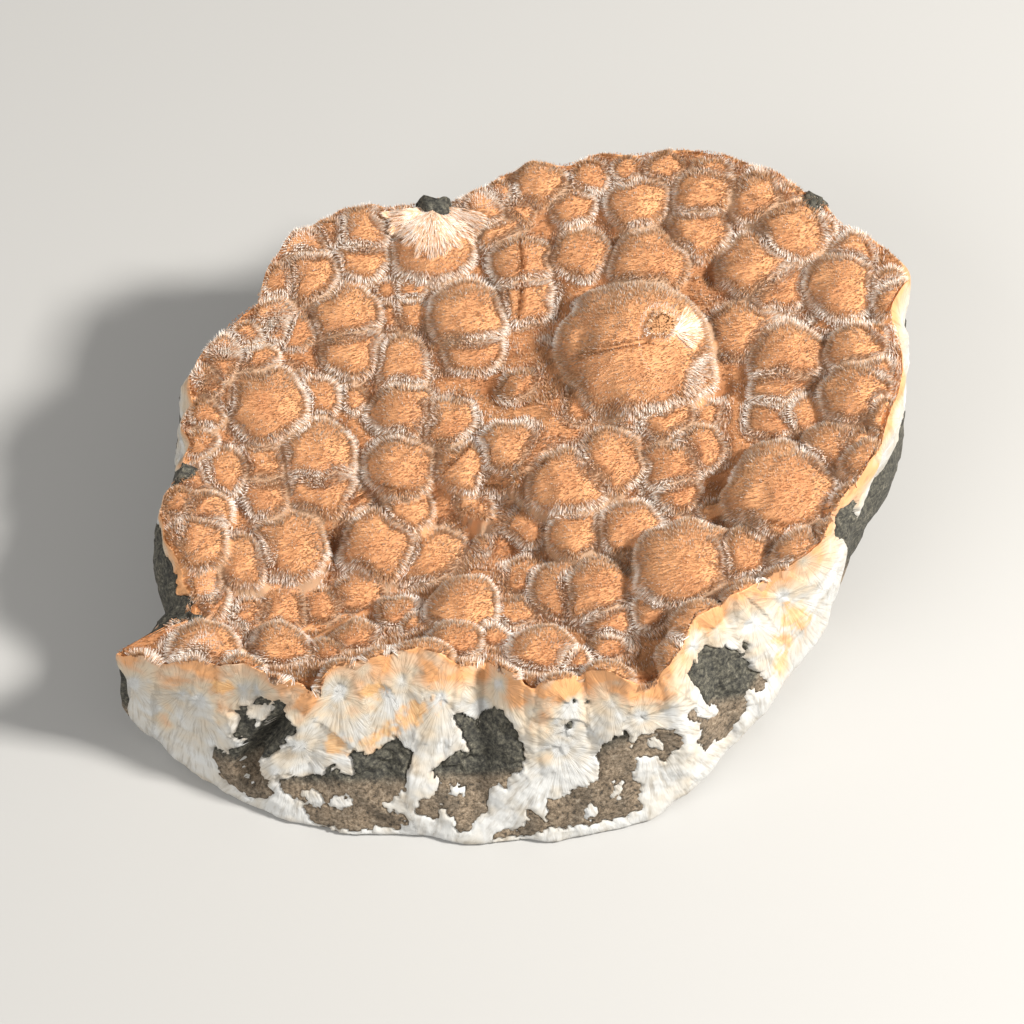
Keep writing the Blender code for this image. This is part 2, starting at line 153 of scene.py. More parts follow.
BALLS = [
    (4.5, 55.5, 4.5), (10, 52, 4), (20.5, 53, 5), (31.5, 54.5, 5), (31, 48, 5), (40.5, 53.5, 4.5),
    (46, 48, 5.5), (11.5, 44, 5), (22.5, 43, 6, 0.5), (-2.5, 47, 3.5), (1, 51.5, 3.5), (-5, 51.5, 4),
    (-13, 46.5, 7, -1), (-24.5, 48, 4.5), (-25, 43.5, 4.5), (-33, 40.5, 5), (-27, 34, 5.5, 0.5),
    (-26, 28.5, 5, 0.5), (-35.5, 30.5, 3.5, -0.5), (-39, 32, 3.5, -0.5), (-20, 37.5, 3, -1),
    (-20, 33, 3.5, -1), (-16, 37, 3, -0.5), (-16, 33.5, 3.5, -0.5), (-7, 34, 6, 1), (-6.5, 28.5, 5, 0.5),
    (-13, 26, 3.5, -0.5), (1.5, 42.5, 5, 0.5), (2, 36.5, 5), (7, 28.5, 4, -2), (1, 26.5, 3, -1.5),
    (1.5, 21.5, 3.5, -0.5), (6.5, 19.5, 2.5, -1), (11, 19, 4, -1), (20, 30.5, 11, 2), (26, 25.5, 6, 2.5),
    (40, 42.5, 6), (33, 39.5, 4, -2.5), (43.5, 38.5, 5), (54, 39, 6), (62, 36, 3.5), (38, 31.5, 6, -0.5),
    (44.5, 27.5, 6, 0.5), (44, 22.5, 5), (56, 28, 5), (56, 20.5, 6), (51, 32, 3, -1), (32.5, 22, 4.5, -3),
    (31.5, 17, 3.5, -0.5), (24.5, 18, 5.5), (19, 17, 4.5, -0.5), (30, 12, 4.5), (26, 9, 5), (27, 4.5, 4),
    (15.5, 10.5, 5.5, 0.5), (9, 7.5, 6, 0.5), (19.5, 4.5, 3, -1), (19, -0.5, 5), (28, -6, 7.5, 1),
    (37, -5.5, 5), (33, 0.5, 3.5, -1), (33, 5, 4, -2.5), (43.5, 6, 8.5, 0.5), (43, 16.5, 5, -1),
    (47, 17, 3.5), (52, 12, 5), (57.5, 9, 4.5), (60, 16.5, 3.5), (46, -5, 4, -0.5), (-42, 26, 4),
    (-40, 19.5, 6.5, 0.5), (-46.5, 25.5, 3.5), (-47.5, 20, 3.5, -1), (-50, 22.5, 2.5), (-31.5, 20, 4),
    (-26, 19.5, 3), (-35.5, 21.5, 3, -0.5), (-23.5, 22.5, 2, -0.5), (-17.5, 26, 5), (-17.5, 18, 5.5, 0.5),
    (-10, 16, 4.5, 0.5), (-3.5, 20, 4, -3), (-31.5, 11.5, 6, 0.5), (-31, 6.5, 5.5, 0.5),
    (-18, 9.5, 5.5, 0.5), (-7.5, 9.5, 4.5), (0, 12, 4.5), (0.5, 4, 4), (-6, 2.5, 3, -0.5), (-46.5, 8, 4.5),
    (-40.5, 9, 4.5), (-40, 4.5, 4.5, 0.5), (-50, 1.5, 4.5), (-50.5, -3, 5), (-43, -6, 4.5),
    (-36, -3.5, 6, 0.5), (-37, -14, 4.5), (-42.5, -15.5, 3.5, -0.5), (-36.5, -20.5, 5),
    (-30.5, -13.5, 4, -0.5), (-24.5, -12, 4.5), (-21.5, -2.5, 6, 0.5), (-26.5, 3.5, 3.5),
    (-17, 2.5, 4, 0.5), (-13.5, -5.5, 6, 1), (-7.5, -13.5, 5.5, 0.5), (-9, -19.5, 4.5),
    (-18, -15.5, 4, -0.5), (-15, -18, 3, -1), (-24.5, -19.5, 4, -0.5), (-29, -22, 3.5, -1),
    (-48.5, -20.5, 5.5), (-48, -12.5, 3.5, -0.5), (-3.5, -5.5, 3.5, -1.5), (3, -0.5, 4.5, -1),
    (10.5, -1.5, 4.5), (2, -9.5, 5, -1.5), (8.5, -11, 5.5, 0.5), (14, -10.5, 6, 1), (16, -16, 4.5),
    (0.5, -15.5, 4, -1), (-3.5, -19.5, 3, -0.5), (4.5, -21, 5.5), (10, -23, 3), (15.5, -21, 3.5, -0.5),
    (23, -15, 4, -1), (-58, -24, 4), (-50, -24.5, 4.5), (-42.5, -24.5, 4), (-37.5, -26.5, 3), (-26, -25, 4),
    (-20.5, -23.5, 3.5), (-14, -23, 5), (-6.5, -25.5, 3.5), (-2, -25, 3), (7.5, -27.5, 4), (15, -26, 4.5),
    (22, -28, 4), (27, -22, 4), (30, -16.5, 4.5), (37, -13, 4), (43, -10, 4), (48, -8, 3.5), (51.5, -3, 4),
    (54.5, 2.5, 3.5),
]

# A ball's middle lies a share of its radius under its foot, and its cap is spread to a multiple of
# that radius. The floor of the bowl is raised between the balls. Their outlines wander, and the
# whole lining has low lumps.
BALL_SINK = 0.3
BALL_SPREAD = 1.22
BALL_ROUNDNESS = 2.2
CREASE_SOFTNESS = 0.25
FLOOR_RISE = 0.9
WANDER, WANDER_SIZE = 0.75, 3.1
LUMP_HEIGHT, LUMP_SIZE = 0.30, 2.3


def on_plan(radius, angle):
    """The x and y at a distance from the middle in a direction."""
    return MIDDLE_X + radius * np.cos(angle), MIDDLE_Y + radius * np.sin(angle)


def around(points, angle):
    """Radius from the middle and height, at each angle, of a closed line given by x, y and height."""
    x, y, z = np.array(points, float).T
    where = np.arctan2(y - MIDDLE_Y, x - MIDDLE_X)
    order = np.argsort(where)
    radius = np.hypot(x - MIDDLE_X, y - MIDDLE_Y)
    return (
        np.interp(angle, where[order], radius[order], period=2 * np.pi),
        np.interp(angle, where[order], z[order], period=2 * np.pi),
    )


def rock_noise(x, y, z, size, seed):
    """Smooth random bumps between -1 and 1: values on a cubic lattice, blended between its points."""
    lattice = np.random.default_rng(seed).uniform(-1, 1, (32, 32, 32))
    spots = [np.asarray(v, float) / size + 16.0 for v in (x, y, z)]
    low = [np.floor(v).astype(int) for v in spots]
    part = [(v - k) ** 2 * (3 - 2 * (v - k)) for v, k in zip(spots, low)]
    total = 0.0
    for corner in np.ndindex(2, 2, 2):
        weight = 1.0
        for step, share in zip(corner, part):
            weight = weight * (share if step else 1 - share)
        index = tuple((k + step) % 32 for k, step in zip(low, corner))
        total = total + weight * lattice[index]
    return total


def bowl_share(x, y):
    """How far out a place lies, as a share of the rim's distance evened over 16 degrees, and the
    rim's height evened in the same way."""
    angle = np.arctan2(y - MIDDLE_Y, x - MIDDLE_X)
    evened = np.mean([around(RIM, angle + math.radians(turn)) for turn in (-8, -4, 0, 4, 8)], 0)
    return np.minimum(np.hypot(x - MIDDLE_X, y - MIDDLE_Y) / evened[0], 1.0), evened[1]


def bowl_height(x, y):
    """The bowl without its balls: the rim's height less the depth, which fades towards the rim."""
    share, rim_height = bowl_share(x, y)
    return rim_height - BOWL_DEPTH * (1 - share**BOWL_FLATNESS)


def on_the_bowl(across, up, lift):
    """The y at which the sight line through a place across and up meets the bowl, raised by lift."""
    y = up / math.sin(FACING)
    for _ in range(12):
        seen = (up - (bowl_height(across, y) + lift) * math.cos(FACING)) / math.sin(FACING)
        y = 0.5 * (y + seen)
    return y


def edge_fade(x, y):
    """One over the bowl's middle, falling to nothing at its rim."""
    return 1 - bowl_share(x, y)[0] ** 6


def rim_rough(x, y, z):
    """How far the break stands in or out: two sizes of smooth random bumps."""
    return 0.8 * rock_noise(x, y, z, 7.0, 3) + 0.4 * rock_noise(x, y, z, 3.0, 4)


def edge_radius(angle):
    """The rim's distance from the middle, with the break's roughness."""
    reach, height = around(RIM, angle)
    return reach + rim_rough(*on_plan(reach, angle), height)


across, up, ball_r, proud = np.array([(*ball, 0)[:4] for ball in BALLS], float).T
ball_x = across
ball_y = on_the_bowl(across, up, proud + ball_r * (1 - BALL_SINK))
ball_z = bowl_height(ball_x, ball_y) + proud - BALL_SINK * ball_r

# Low balls on the lip itself, from the right round the back to the left: their directions in degrees,
# their distance as a share of the rim's, their radii, and how far they rise above the bowl.
LIP_FROM, LIP_TO, LIP_EVERY = 3, 203, 6.3
LIP_SHARE = 0.955
LIP_SIZES = (2.7, 4.1)
LIP_RISE = 1.9
draw = np.random.default_rng(9)
lip_turn = np.radians(np.arange(LIP_FROM, LIP_TO, LIP_EVERY))
lip_turn = lip_turn + draw.uniform(-0.025, 0.025, lip_turn.shape)
lip_x, lip_y = on_plan(LIP_SHARE * around(RIM, lip_turn)[0], lip_turn)
lip_r = draw.uniform(*LIP_SIZES, lip_turn.shape)
lip_z = bowl_height(lip_x, lip_y) + LIP_RISE - lip_r
ball_x, ball_y = np.append(ball_x, lip_x), np.append(ball_y, lip_y)
ball_z, ball_r = np.append(ball_z, lip_z), np.append(ball_r, lip_r)

# Hollows between the balls, in painted shade: across, up, radius and depth. One small ball grows
# on the big one, given by across, up and radius, with a trench round it at a share of that radius.
HOLLOWS = [
    (-3.5, 20.3, 2, 1.6), (33.3, 21.1, 2.2, 1.6), (33.3, 5.1, 2, 1.4), (6.9, 35.5, 1.8, 1.4),
    (-28.3, -4.5, 1.6, 2), (-30.5, -6, 1.2, 1.8), (-0.3, -6.1, 2, 1.4), (32.5, 39.5, 2, 1.4),
    (20.5, -25.6, 1.8, 1.4), (2.9, -28.5, 1.5, 1.2), (-30.7, -26.1, 1.8, 1.6), (11, 25, 1.5, 1.2),
]
SMALL_BALL = (24.0, 30.6, 2.5)
SMALL_BALL_ON = 10.5
SMALL_BALL_RISE, TRENCH_DEPTH = 1.5, 0.25
TRENCH_AT, TRENCH_WIDTH = 1.15, 0.2
hollow_x, hollow_up, hollow_r, hollow_depth = np.array(HOLLOWS, float).T
hollow_y = on_the_bowl(hollow_x, hollow_up, 1.0)
small_y = float(on_the_bowl(np.array([SMALL_BALL[0]]), np.array([SMALL_BALL[1]]), SMALL_BALL_ON)[0])
small_place = (np.array([SMALL_BALL[0]]), np.array([small_y]))

# Fine cracks through the velvet, as lines across and up the photograph's view.
CRACKS = [
    [(1.3, 45.4), (1.6, 38), (1, 31)], [(-26.7, 1.1), (-21.9, 4.3), (-17.1, 3.2)],
    [(-23.5, 1.1), (-21.9, 2.7)], [(-11.5, 6.4), (-5.1, 12.8)], [(-39, -9.6), (-37.4, -8.6)],
    [(2.9, 6.7), (5.3, 8.6)], [(40.5, -1.3), (44.5, -2.6)],
    [(10.1, 25.1), (15.5, 26.6), (20.5, 27.5), (25, 28.2), (26.3, 29.5)],
]
# Painted shade along the cracks: its width. How deep the body is cut along a crack, and the cut's half
# width. The height over the bowl under which the low ground gets painted shade, and its fade.
CRACK_SHADE = 0.22
CRACK_DEPTH, CRACK_HALF = 0.9, 0.45
LOW_GROUND, LOW_FADE = 1.8, 2.5


def held(share):
    """A share kept between 0 and 1."""
    return np.clip(share, 0, 1)


def line_distance(across, up, line):
    """How far each place across and up the view lies from a line of several stretches."""
    nearest = np.full(across.shape, 1e9)
    for (ax, ay), (bx, by) in zip(line, line[1:]):
        run_x, run_y = bx - ax, by - ay
        along = held(((across - ax) * run_x + (up - ay) * run_y) / (run_x**2 + run_y**2))
        nearest = np.minimum(nearest, np.hypot(across - ax - along * run_x, up - ay - along * run_y))
    return nearest


def seen_up(y, z):
    """How high a place stands in the photograph's view."""
    return y * math.sin(FACING) + z * math.cos(FACING)


def crack_distance(across, up):
    """How far each place across and up the view lies from the nearest crack."""
    return np.min([line_distance(across, up, line) for line in CRACKS], 0)


def blob(across, up, middle_x, middle_y, half_x, half_y, turned=0.0):
    """One at the middle of an ellipse, nothing on its outline, negative outside."""
    cos, sin = math.cos(math.radians(turned)), math.sin(math.radians(turned))
    dx, dy = across - middle_x, up - middle_y
    return 1 - np.hypot((dx * cos + dy * sin) / half_x, (dy * cos - dx * sin) / half_y)


def blobs(across, up, spots):
    """The highest of the blobs at each place."""
    return np.max([blob(across, up, *spot) for spot in spots], 0)


def lining(x, y):
    """The lining's height, the ball that is highest at each place, and how far it leads the next. A
    ball's cap falls from its middle by a root of one minus its share of the radius to a power, and
    each cap is blended with what lies under it."""
    surface = bowl_height(x, y) + FLOOR_RISE * edge_fade(x, y)
    aside_x = WANDER * rock_noise(x, y, 0 * x, WANDER_SIZE, 11)
    aside_y = WANDER * rock_noise(x, y, 0 * x, WANDER_SIZE, 12)
    x, y = x + aside_x, y + aside_y
    best, second = surface.copy(), surface - 5.0
    owner = np.full(x.shape, -1)
    for k in range(len(ball_x)):
        share = np.hypot(x - ball_x[k], y - ball_y[k]) / (ball_r[k] * BALL_SPREAD)
        near = share < 1
        fall = held(1 - share[near] ** BALL_ROUNDNESS) ** (1 / BALL_ROUNDNESS)
        cap = ball_z[k] + ball_r[k] * fall
        gap = surface[near] - cap
        surface[near] = 0.5 * (surface[near] + cap + np.sqrt(gap**2 + CREASE_SOFTNESS**2))
        was = best[near]
        second[near] = np.maximum(second[near], np.minimum(was, cap))
        owner[near] = np.where(cap > was, k, owner[near])
        best[near] = np.maximum(was, cap)
    surface = surface + LUMP_HEIGHT * rock_noise(x, y, 0 * x, LUMP_SIZE, 13)
    for k in range(len(hollow_x)):
        away = np.hypot(x - hollow_x[k], y - hollow_y[k]) / hollow_r[k]
        surface = surface - hollow_depth[k] * np.exp(-(away**2))
    away = np.hypot(x - SMALL_BALL[0], y - small_y) / SMALL_BALL[2]
    surface = surface + SMALL_BALL_RISE * np.sqrt(held(1 - away**2))
    surface = surface - TRENCH_DEPTH * np.exp(-(((away - TRENCH_AT) / TRENCH_WIDTH) ** 2))
    return surface, owner, best - second


def painted_shade(x, y, z, gap):
    """Painted shade, from nothing on the balls to one in the hollows, on the low ground and along the
    cracks.
    """
    low = held((bowl_height(x, y) + LOW_GROUND - z) / LOW_FADE)
    crack = crack_distance(x, seen_up(y, z))
    return np.maximum(low * held(gap / 0.8), held(1.6 - crack / CRACK_SHADE))


def unit(vectors):
    """Vectors scaled to length one."""
    return vectors / np.maximum(np.linalg.norm(vectors, axis=-1, keepdims=True), 1e-9)


def lining_shape(x, y, step=0.12):
    """The lining's height, normal, owning ball, and how far away the nearest crease is."""
    z, owner, lead = lining(x, y)
    east, _, lead_east = lining(x + step, y)
    north, _, lead_north = lining(x, y + step)
    slope_x, slope_y = (east - z) / step, (north - z) / step
    normal = unit(np.stack([-slope_x, -slope_y, np.ones(x.shape)], -1))
    lead_slope = np.hypot(lead_east - lead, lead_north - lead) / step
    return z, normal, owner, lead / np.maximum(lead_slope, 0.35)


def made_piece(name, points, faces, material, node, smooth=True):
    """A finished piece in place of a node: a mesh of points in millimetres, held inside the
    model's box."""
    mesh = bpy.data.meshes.new(name)
    mesh.from_pydata(np.clip((points - ORIGIN) * MM, *cad_box), [], faces)
    mesh.polygons.foreach_set("use_smooth", np.full(len(mesh.polygons), smooth))
    mesh.materials.append(material)
    piece = bpy.data.objects.new(name, mesh)
    bpy.context.scene.collection.objects.link(piece)
    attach(piece, "root")
    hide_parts(node)
    return piece


def point_values(piece, name, values, kind="FLOAT", key="value"):
    """Stores a number or a vector for each point of the piece, for its material to read. The last
    points get zero where values are missing."""
    layer = piece.data.attributes.new(name, kind, "POINT")
    filled = np.zeros(len(layer.data) * (3 if key == "vector" else 1), np.float32)
    filled[: np.size(values)] = np.ravel(values)
    layer.data.foreach_set(key, filled)


def disk_grid(count):
    """A square grid pulled into a disk: x is u times the root of 1 - v*v/2, and y the like."""
    u, v = np.meshgrid(np.linspace(-1, 1, count), np.linspace(-1, 1, count))
    return u * np.sqrt(1 - v * v / 2), v * np.sqrt(1 - u * u / 2)


def grid_faces(rows, columns):
    """Quads of a grid listed row by row, facing up where x runs along the rows and y up them."""
    row, column = np.mgrid[: rows - 1, : columns - 1]
    corner = (row * columns + column).ravel()
    return np.stack([corner, corner + 1, corner + columns + 1, corner + columns], -1)


# The body lies under the needles' tips, deeper in the creases, where the needles are longer.
LINING_COUNT = 300
LINING_INSET = 0.985
NEEDLE = 0.9
BED_DROP, BED_CREASE_DROP, BED_LEAST = 0.78 * NEEDLE, 0.92 * NEEDLE, 0.68 * NEEDLE
BED_THICK = 6.0
BED_MIDDLE_LOW = 14.0
# Its colours: orange, dark or light at random, a painted shade in the creases, and a painted shade for the
# hollows, the low ground and the cracks.
BED_DARK = (0.50, 0.23, 0.10)
BED_LIGHT = (0.68, 0.35, 0.16)
BED_CREASE_SHADE = (0.40, 0.26, 0.16)
HOLLOW_SHADE_ROOT = (0.30, 0.12, 0.04)


def node_of(tree, kind, **settings):
    """A shader node with its settings; those named after an input fill it with a value or a link."""
    node = tree.nodes.new("ShaderNode" + kind)
    for name, value in settings.items():
        if hasattr(node, name):
            setattr(node, name, value)
        elif isinstance(value, bpy.types.NodeSocket):
            tree.links.new(value, node.inputs[name.replace("_", " ")])
        else:
            node.inputs[name.replace("_", " ")].default_value = value
    return node


def stored(tree, name, socket="Fac"):
    """What the points of a piece store under a name."""
    return node_of(tree, "Attribute", attribute_name=name).outputs[socket]


def ramp_of(tree, source, stops):
    """A colour ramp fed by source; each stop is a position and a colour."""
    ramp = tree.nodes.new("ShaderNodeValToRGB")
    band = ramp.color_ramp
    while len(band.elements) < len(stops):
        band.elements.new(0.5)
    for element, (position, color) in zip(band.elements, stops):
        element.position = position
        element.color = (*color, 1)
    tree.links.new(source, ramp.inputs["Fac"])
    return ramp.outputs["Color"]


def mixed(tree, share, first, second, blend="MIX"):
    """A colour mix; each of share, first and second is a socket or a plain value."""
    mix = tree.nodes.new("ShaderNodeMix")
    mix.data_type = "RGBA"
    mix.blend_type = blend
    for index, given in ((0, share), (6, first), (7, second)):
        if isinstance(given, bpy.types.NodeSocket):
            tree.links.new(given, mix.inputs[index])
        else:
            mix.inputs[index].default_value = given if index == 0 else (*given, 1)
    return mix.outputs[2]


def new_finish(name, roughness):
    """A Principled material, its node tree and its shader."""
    material = bpy.data.materials.new(name)
    material.use_nodes = True
    shader = material.node_tree.nodes["Principled BSDF"]
    shader.inputs["Roughness"].default_value = roughness
    return material, material.node_tree, shader


velvet, tree, shader = new_finish("orange velvet", 0.8)
place = node_of(tree, "TexCoord").outputs["Object"]
crease_here = stored(tree, "crease")
patchy = node_of(tree, "TexNoise", Vector=place, Scale=160.0, Detail=3.0)
cap_color = ramp_of(tree, patchy.outputs["Fac"], [(0.3, BED_DARK), (0.7, BED_LIGHT)])
painted_shade_here = stored(tree, "dark")
# Painted shade: the body is darker in the creases, and darker still in the hollows, on the low ground and
# along the cracks.
bed_color = mixed(tree, crease_here, cap_color, BED_CREASE_SHADE)
tree.links.new(mixed(tree, painted_shade_here, bed_color, HOLLOW_SHADE_ROOT), shader.inputs["Base Color"])

flat_x, flat_y = disk_grid(LINING_COUNT)
turn = np.arctan2(flat_y, flat_x)
out = np.hypot(flat_x, flat_y)
evened = np.mean([edge_radius(turn + math.radians(shift)) for shift in range(-12, 13, 3)], 0)
spread = out * (evened + out**6 * (edge_radius(turn) - evened)) * LINING_INSET
bed_x, bed_y = on_plan(spread, turn)
bed_z, bed_normal, _, bed_gap = lining_shape(bed_x, bed_y)
bed_crease = held(1.2 - bed_gap / 1.1)
bed_drop = BED_DROP + BED_CREASE_DROP * bed_crease
bed = np.stack([bed_x, bed_y, bed_z], -1) - bed_drop[..., None] * bed_normal
bed[..., 2] = np.minimum(bed[..., 2], lining(bed[..., 0], bed[..., 1])[0] - BED_LEAST)
bed_crack = crack_distance(bed[..., 0], seen_up(bed[..., 1], bed[..., 2]))
bed[..., 2] -= CRACK_DEPTH * held(1.3 - bed_crack / CRACK_HALF)
for _ in range(2):
    inner = bed[:-2, 1:-1] + bed[2:, 1:-1] + bed[1:-1, :-2] + bed[1:-1, 2:]
    bed[1:-1, 1:-1] = 0.5 * bed[1:-1, 1:-1] + 0.125 * inner
bed = bed.reshape(-1, 3)

# Below its border a wall goes straight down, and a fan of triangles closes the body underneath.
grid = np.arange(LINING_COUNT**2).reshape(LINING_COUNT, -1)
border = np.concatenate([grid[0], grid[1:, -1], grid[-1, -2::-1], grid[-2:0:-1, 0]])
lower = bed[border] - (0, 0, BED_THICK)
centre = np.array([[MIDDLE_X, MIDDLE_Y, BED_MIDDLE_LOW]])
first_low = len(bed)
ring = len(border)
k = np.arange(ring)
beside = (k + 1) % ring
sides = np.stack([border[beside], border[k], first_low + k, first_low + beside], -1)
under = np.stack([first_low + beside, first_low + k, np.full(ring, first_low + ring)], -1)
body = made_piece(
    "lining", np.vstack([bed, lower, centre]),
    [*grid_faces(LINING_COUNT, LINING_COUNT).tolist(), *sides.tolist(), *under.tolist()],
    velvet, "thomsonite_crust",
)
point_values(body, "crease", bed_crease)
# The painted shade of the hollows, the low ground and the cracks.
point_values(body, "dark", painted_shade(bed_x, bed_y, bed_z, bed_gap))

# The needles of the balls, seen end on over the caps and from the side in the creases. Each is a
# thin pyramid that stands on the lining's body, points away from its ball's middle and ends at the
# height of the model's surface. They are orange, and white where two balls meet.
NEEDLE_SHEAVES = 5
NEEDLES_EACH = 49000
NEEDLE_WIDTH = 0.07
THIRDS = (0, 2.094, 4.189)
LONG_ON_CAP, LONGER_IN_CREASE = 0.98, 1.27
CREASE_WIDTH = 1.5
TUFT = 0.42
# The share of needles that are painted glints: white and standing a little proud.
PAINTED_GLINT_SHARE = 0.10

# White fans of needles that lie split open: the point they start from, across and up, then their
# reach and the turns between which they spread.
SPLITS = [(25.9, 29.1, 5.2, -42, 62), (-12.8, 50.2, 8.8, -172, -8)]

# Where the velvet is pale: across, up, half sizes and turn. White seams are lines across and up.
PALE = [
    (-12.3, 47.5, 7.5, 4.6), (-3.5, 51.3, 5.5, 2.4), (-48, -12.5, 2.6, 2.6), (-48.3, -20.5, 3.5, 2.4),
    (-35.5, 44, 6, 2.8, 38), (-50.7, 22.7, 1.6, 4), (61.3, 28.8, 1.8, 3), (-56.5, -22.5, 2.5, 1.5),
]
SEAMS = [[(21, 31.5), (20.4, 28.5), (20.6, 25.5), (21.8, 23)], [(25.9, 29.1), (28.6, 26.2)]]
SEAM_HALF = 0.28

# Velvet is shaded by the roundness of its balls more than by the faces of single needles. The weight
# of that roundness is higher on the caps than in the creases, and its slope is drawn steeper.
SOFT_CAP, SOFT_CREASE = 1.4, 0.35
SOFT_SLOPE = 2.0
BALL_IN_SOFT = 0.75

VELVET_ROOT = (0.64, 0.30, 0.13)
VELVET_MIDDLE = (0.85, 0.48, 0.24)
VELVET_TIP = (0.97, 0.74, 0.52)
# White needles of the creases over peach roots; the roots' darkness is partly real colour and partly
# painted shade deep in the creases.
CREASE_ROOT = (0.68, 0.47, 0.32)
CREASE_MIDDLE = (0.92, 0.84, 0.75)
CREASE_TIP = (0.97, 0.96, 0.93)
HOLLOW_SHADE_TIP = (0.62, 0.34, 0.17)

# A needle's own map holds its tone across, from the painted shade of a hollow at -1 over cap at 0 to
# crease at 1, and the way along it up, from root at 0 to tip at 1.
fibres, tree, shader = new_finish("needles", 0.7)
split = node_of(tree, "SeparateXYZ", Vector=node_of(tree, "UVMap", uv_map="needle").outputs["UV"])
cap_fibre = ramp_of(tree, split.outputs["Y"], [
    (0.0, VELVET_ROOT), (0.7, VELVET_MIDDLE), (1.0, VELVET_TIP),
])
crease_fibre = ramp_of(tree, split.outputs["Y"], [
    (0.1, CREASE_ROOT), (0.55, CREASE_MIDDLE), (1.0, CREASE_TIP),
])
# Painted shade: the colours of needles in the hollows, on the low ground and along the cracks.
shaded_fibre = ramp_of(tree, split.outputs["Y"], [(0.3, HOLLOW_SHADE_ROOT), (1.0, HOLLOW_SHADE_TIP)])
below_zero = node_of(tree, "MapRange", Value=split.outputs["X"], From_Min=0.0, From_Max=-1.0)
above_zero = node_of(tree, "MapRange", Value=split.outputs["X"], From_Min=0.0, From_Max=1.0)
lit_fibre = mixed(tree, above_zero.outputs["Result"], cap_fibre, crease_fibre)
fibre_color = mixed(tree, below_zero.outputs["Result"], lit_fibre, shaded_fibre)
tree.links.new(fibre_color, shader.inputs["Base Color"])
shader.inputs["Specular IOR Level"].default_value = 0.12
shader.inputs["Sheen Weight"].default_value = 0.2
shader.inputs["Sheen Roughness"].default_value = 0.5
soft_here = stored(tree, "soft", "Vector")
facing_here = node_of(tree, "NewGeometry").outputs["Normal"]
blurred = node_of(tree, "VectorMath", operation="ADD")
tree.links.new(facing_here, blurred.inputs[0])
tree.links.new(soft_here, blurred.inputs[1])
evened_out = node_of(tree, "VectorMath", operation="NORMALIZE", Vector=blurred.outputs["Vector"])
tree.links.new(evened_out.outputs["Vector"], shader.inputs["Normal"])


def scattered(draw):
    """Random places on the lining, closer together in the creases and on steep ground, with none in
    a crack: x, y, height, normal, owning ball, share of crease, and the distance to the crease."""
    tries = 6 * NEEDLES_EACH
    angle = draw.uniform(0, 2 * np.pi, tries)
    reach = edge_radius(angle)
    out = np.sqrt(draw.uniform(0, 1, tries)) * reach.max()
    keep = out < reach
    x, y = on_plan(out[keep], angle[keep])
    z, normal, owner, gap = lining_shape(x, y)
    width = CREASE_WIDTH * (1.0 + 0.7 * rock_noise(x, y, 0 * x, 5.0, 14))
    strength = 0.6 + 0.7 * rock_noise(x, y, 0 * x, 5.5, 19) + 0.45 * rock_noise(x, y, 0 * x, 2.2, 15)
    crease = held(1.1 - gap / width) ** 1.6 * np.clip(strength, 0.05, 1)
    crowd = (0.75 + 0.5 * crease) / np.maximum(normal[:, 2], 0.25)
    chosen = np.flatnonzero(draw.uniform(0, 1, len(x)) < crowd / 3.0)[:NEEDLES_EACH]
    x, y, z, normal, owner, crease, gap = (v[chosen] for v in (x, y, z, normal, owner, crease, gap))
    whole = crack_distance(x, seen_up(y, z)) > 0.08 + 0.06 * rock_noise(x, y, 0 * x, 1.0, 17)
    return [v[whole] for v in (x, y, z, normal, owner, crease, gap)]


def whitened(x, y, up, small, crease):
    """The share of crease, raised in the pale spots, round the small ball and along the seams."""
    pale = blobs(x, up, PALE)
    paler = np.clip(1.6 * pale + 0.35 * rock_noise(x, y, 0 * x, 1.3, 18), 0, 0.85)
    crease = np.maximum(crease, paler * (pale > 0))
    crease = np.where(np.abs(small - 1.2) < 0.16, 1.0, crease)
    seam = np.min([line_distance(x, up, line) for line in SEAMS], 0) < SEAM_HALF
    return np.where(seam & (small > 1.0), 0.9, crease)


def tuft_pull(x, y, normal):
    """The move along the surface to the middle of the tuft that a place belongs to: one tuft stands
    at a random spot in each square of a fine grid."""
    lattice = np.random.default_rng(16).uniform(0.2, 0.8, (64, 64, 2))
    column, row = np.floor(x / TUFT).astype(int), np.floor(y / TUFT).astype(int)
    spot = lattice[row % 64, column % 64]
    dx, dy = (column + spot[:, 0]) * TUFT - x, (row + spot[:, 1]) * TUFT - y
    dz = -(normal[:, 0] * dx + normal[:, 1] * dy) / np.maximum(normal[:, 2], 0.35)
    return np.stack([dx, dy, dz], -1)


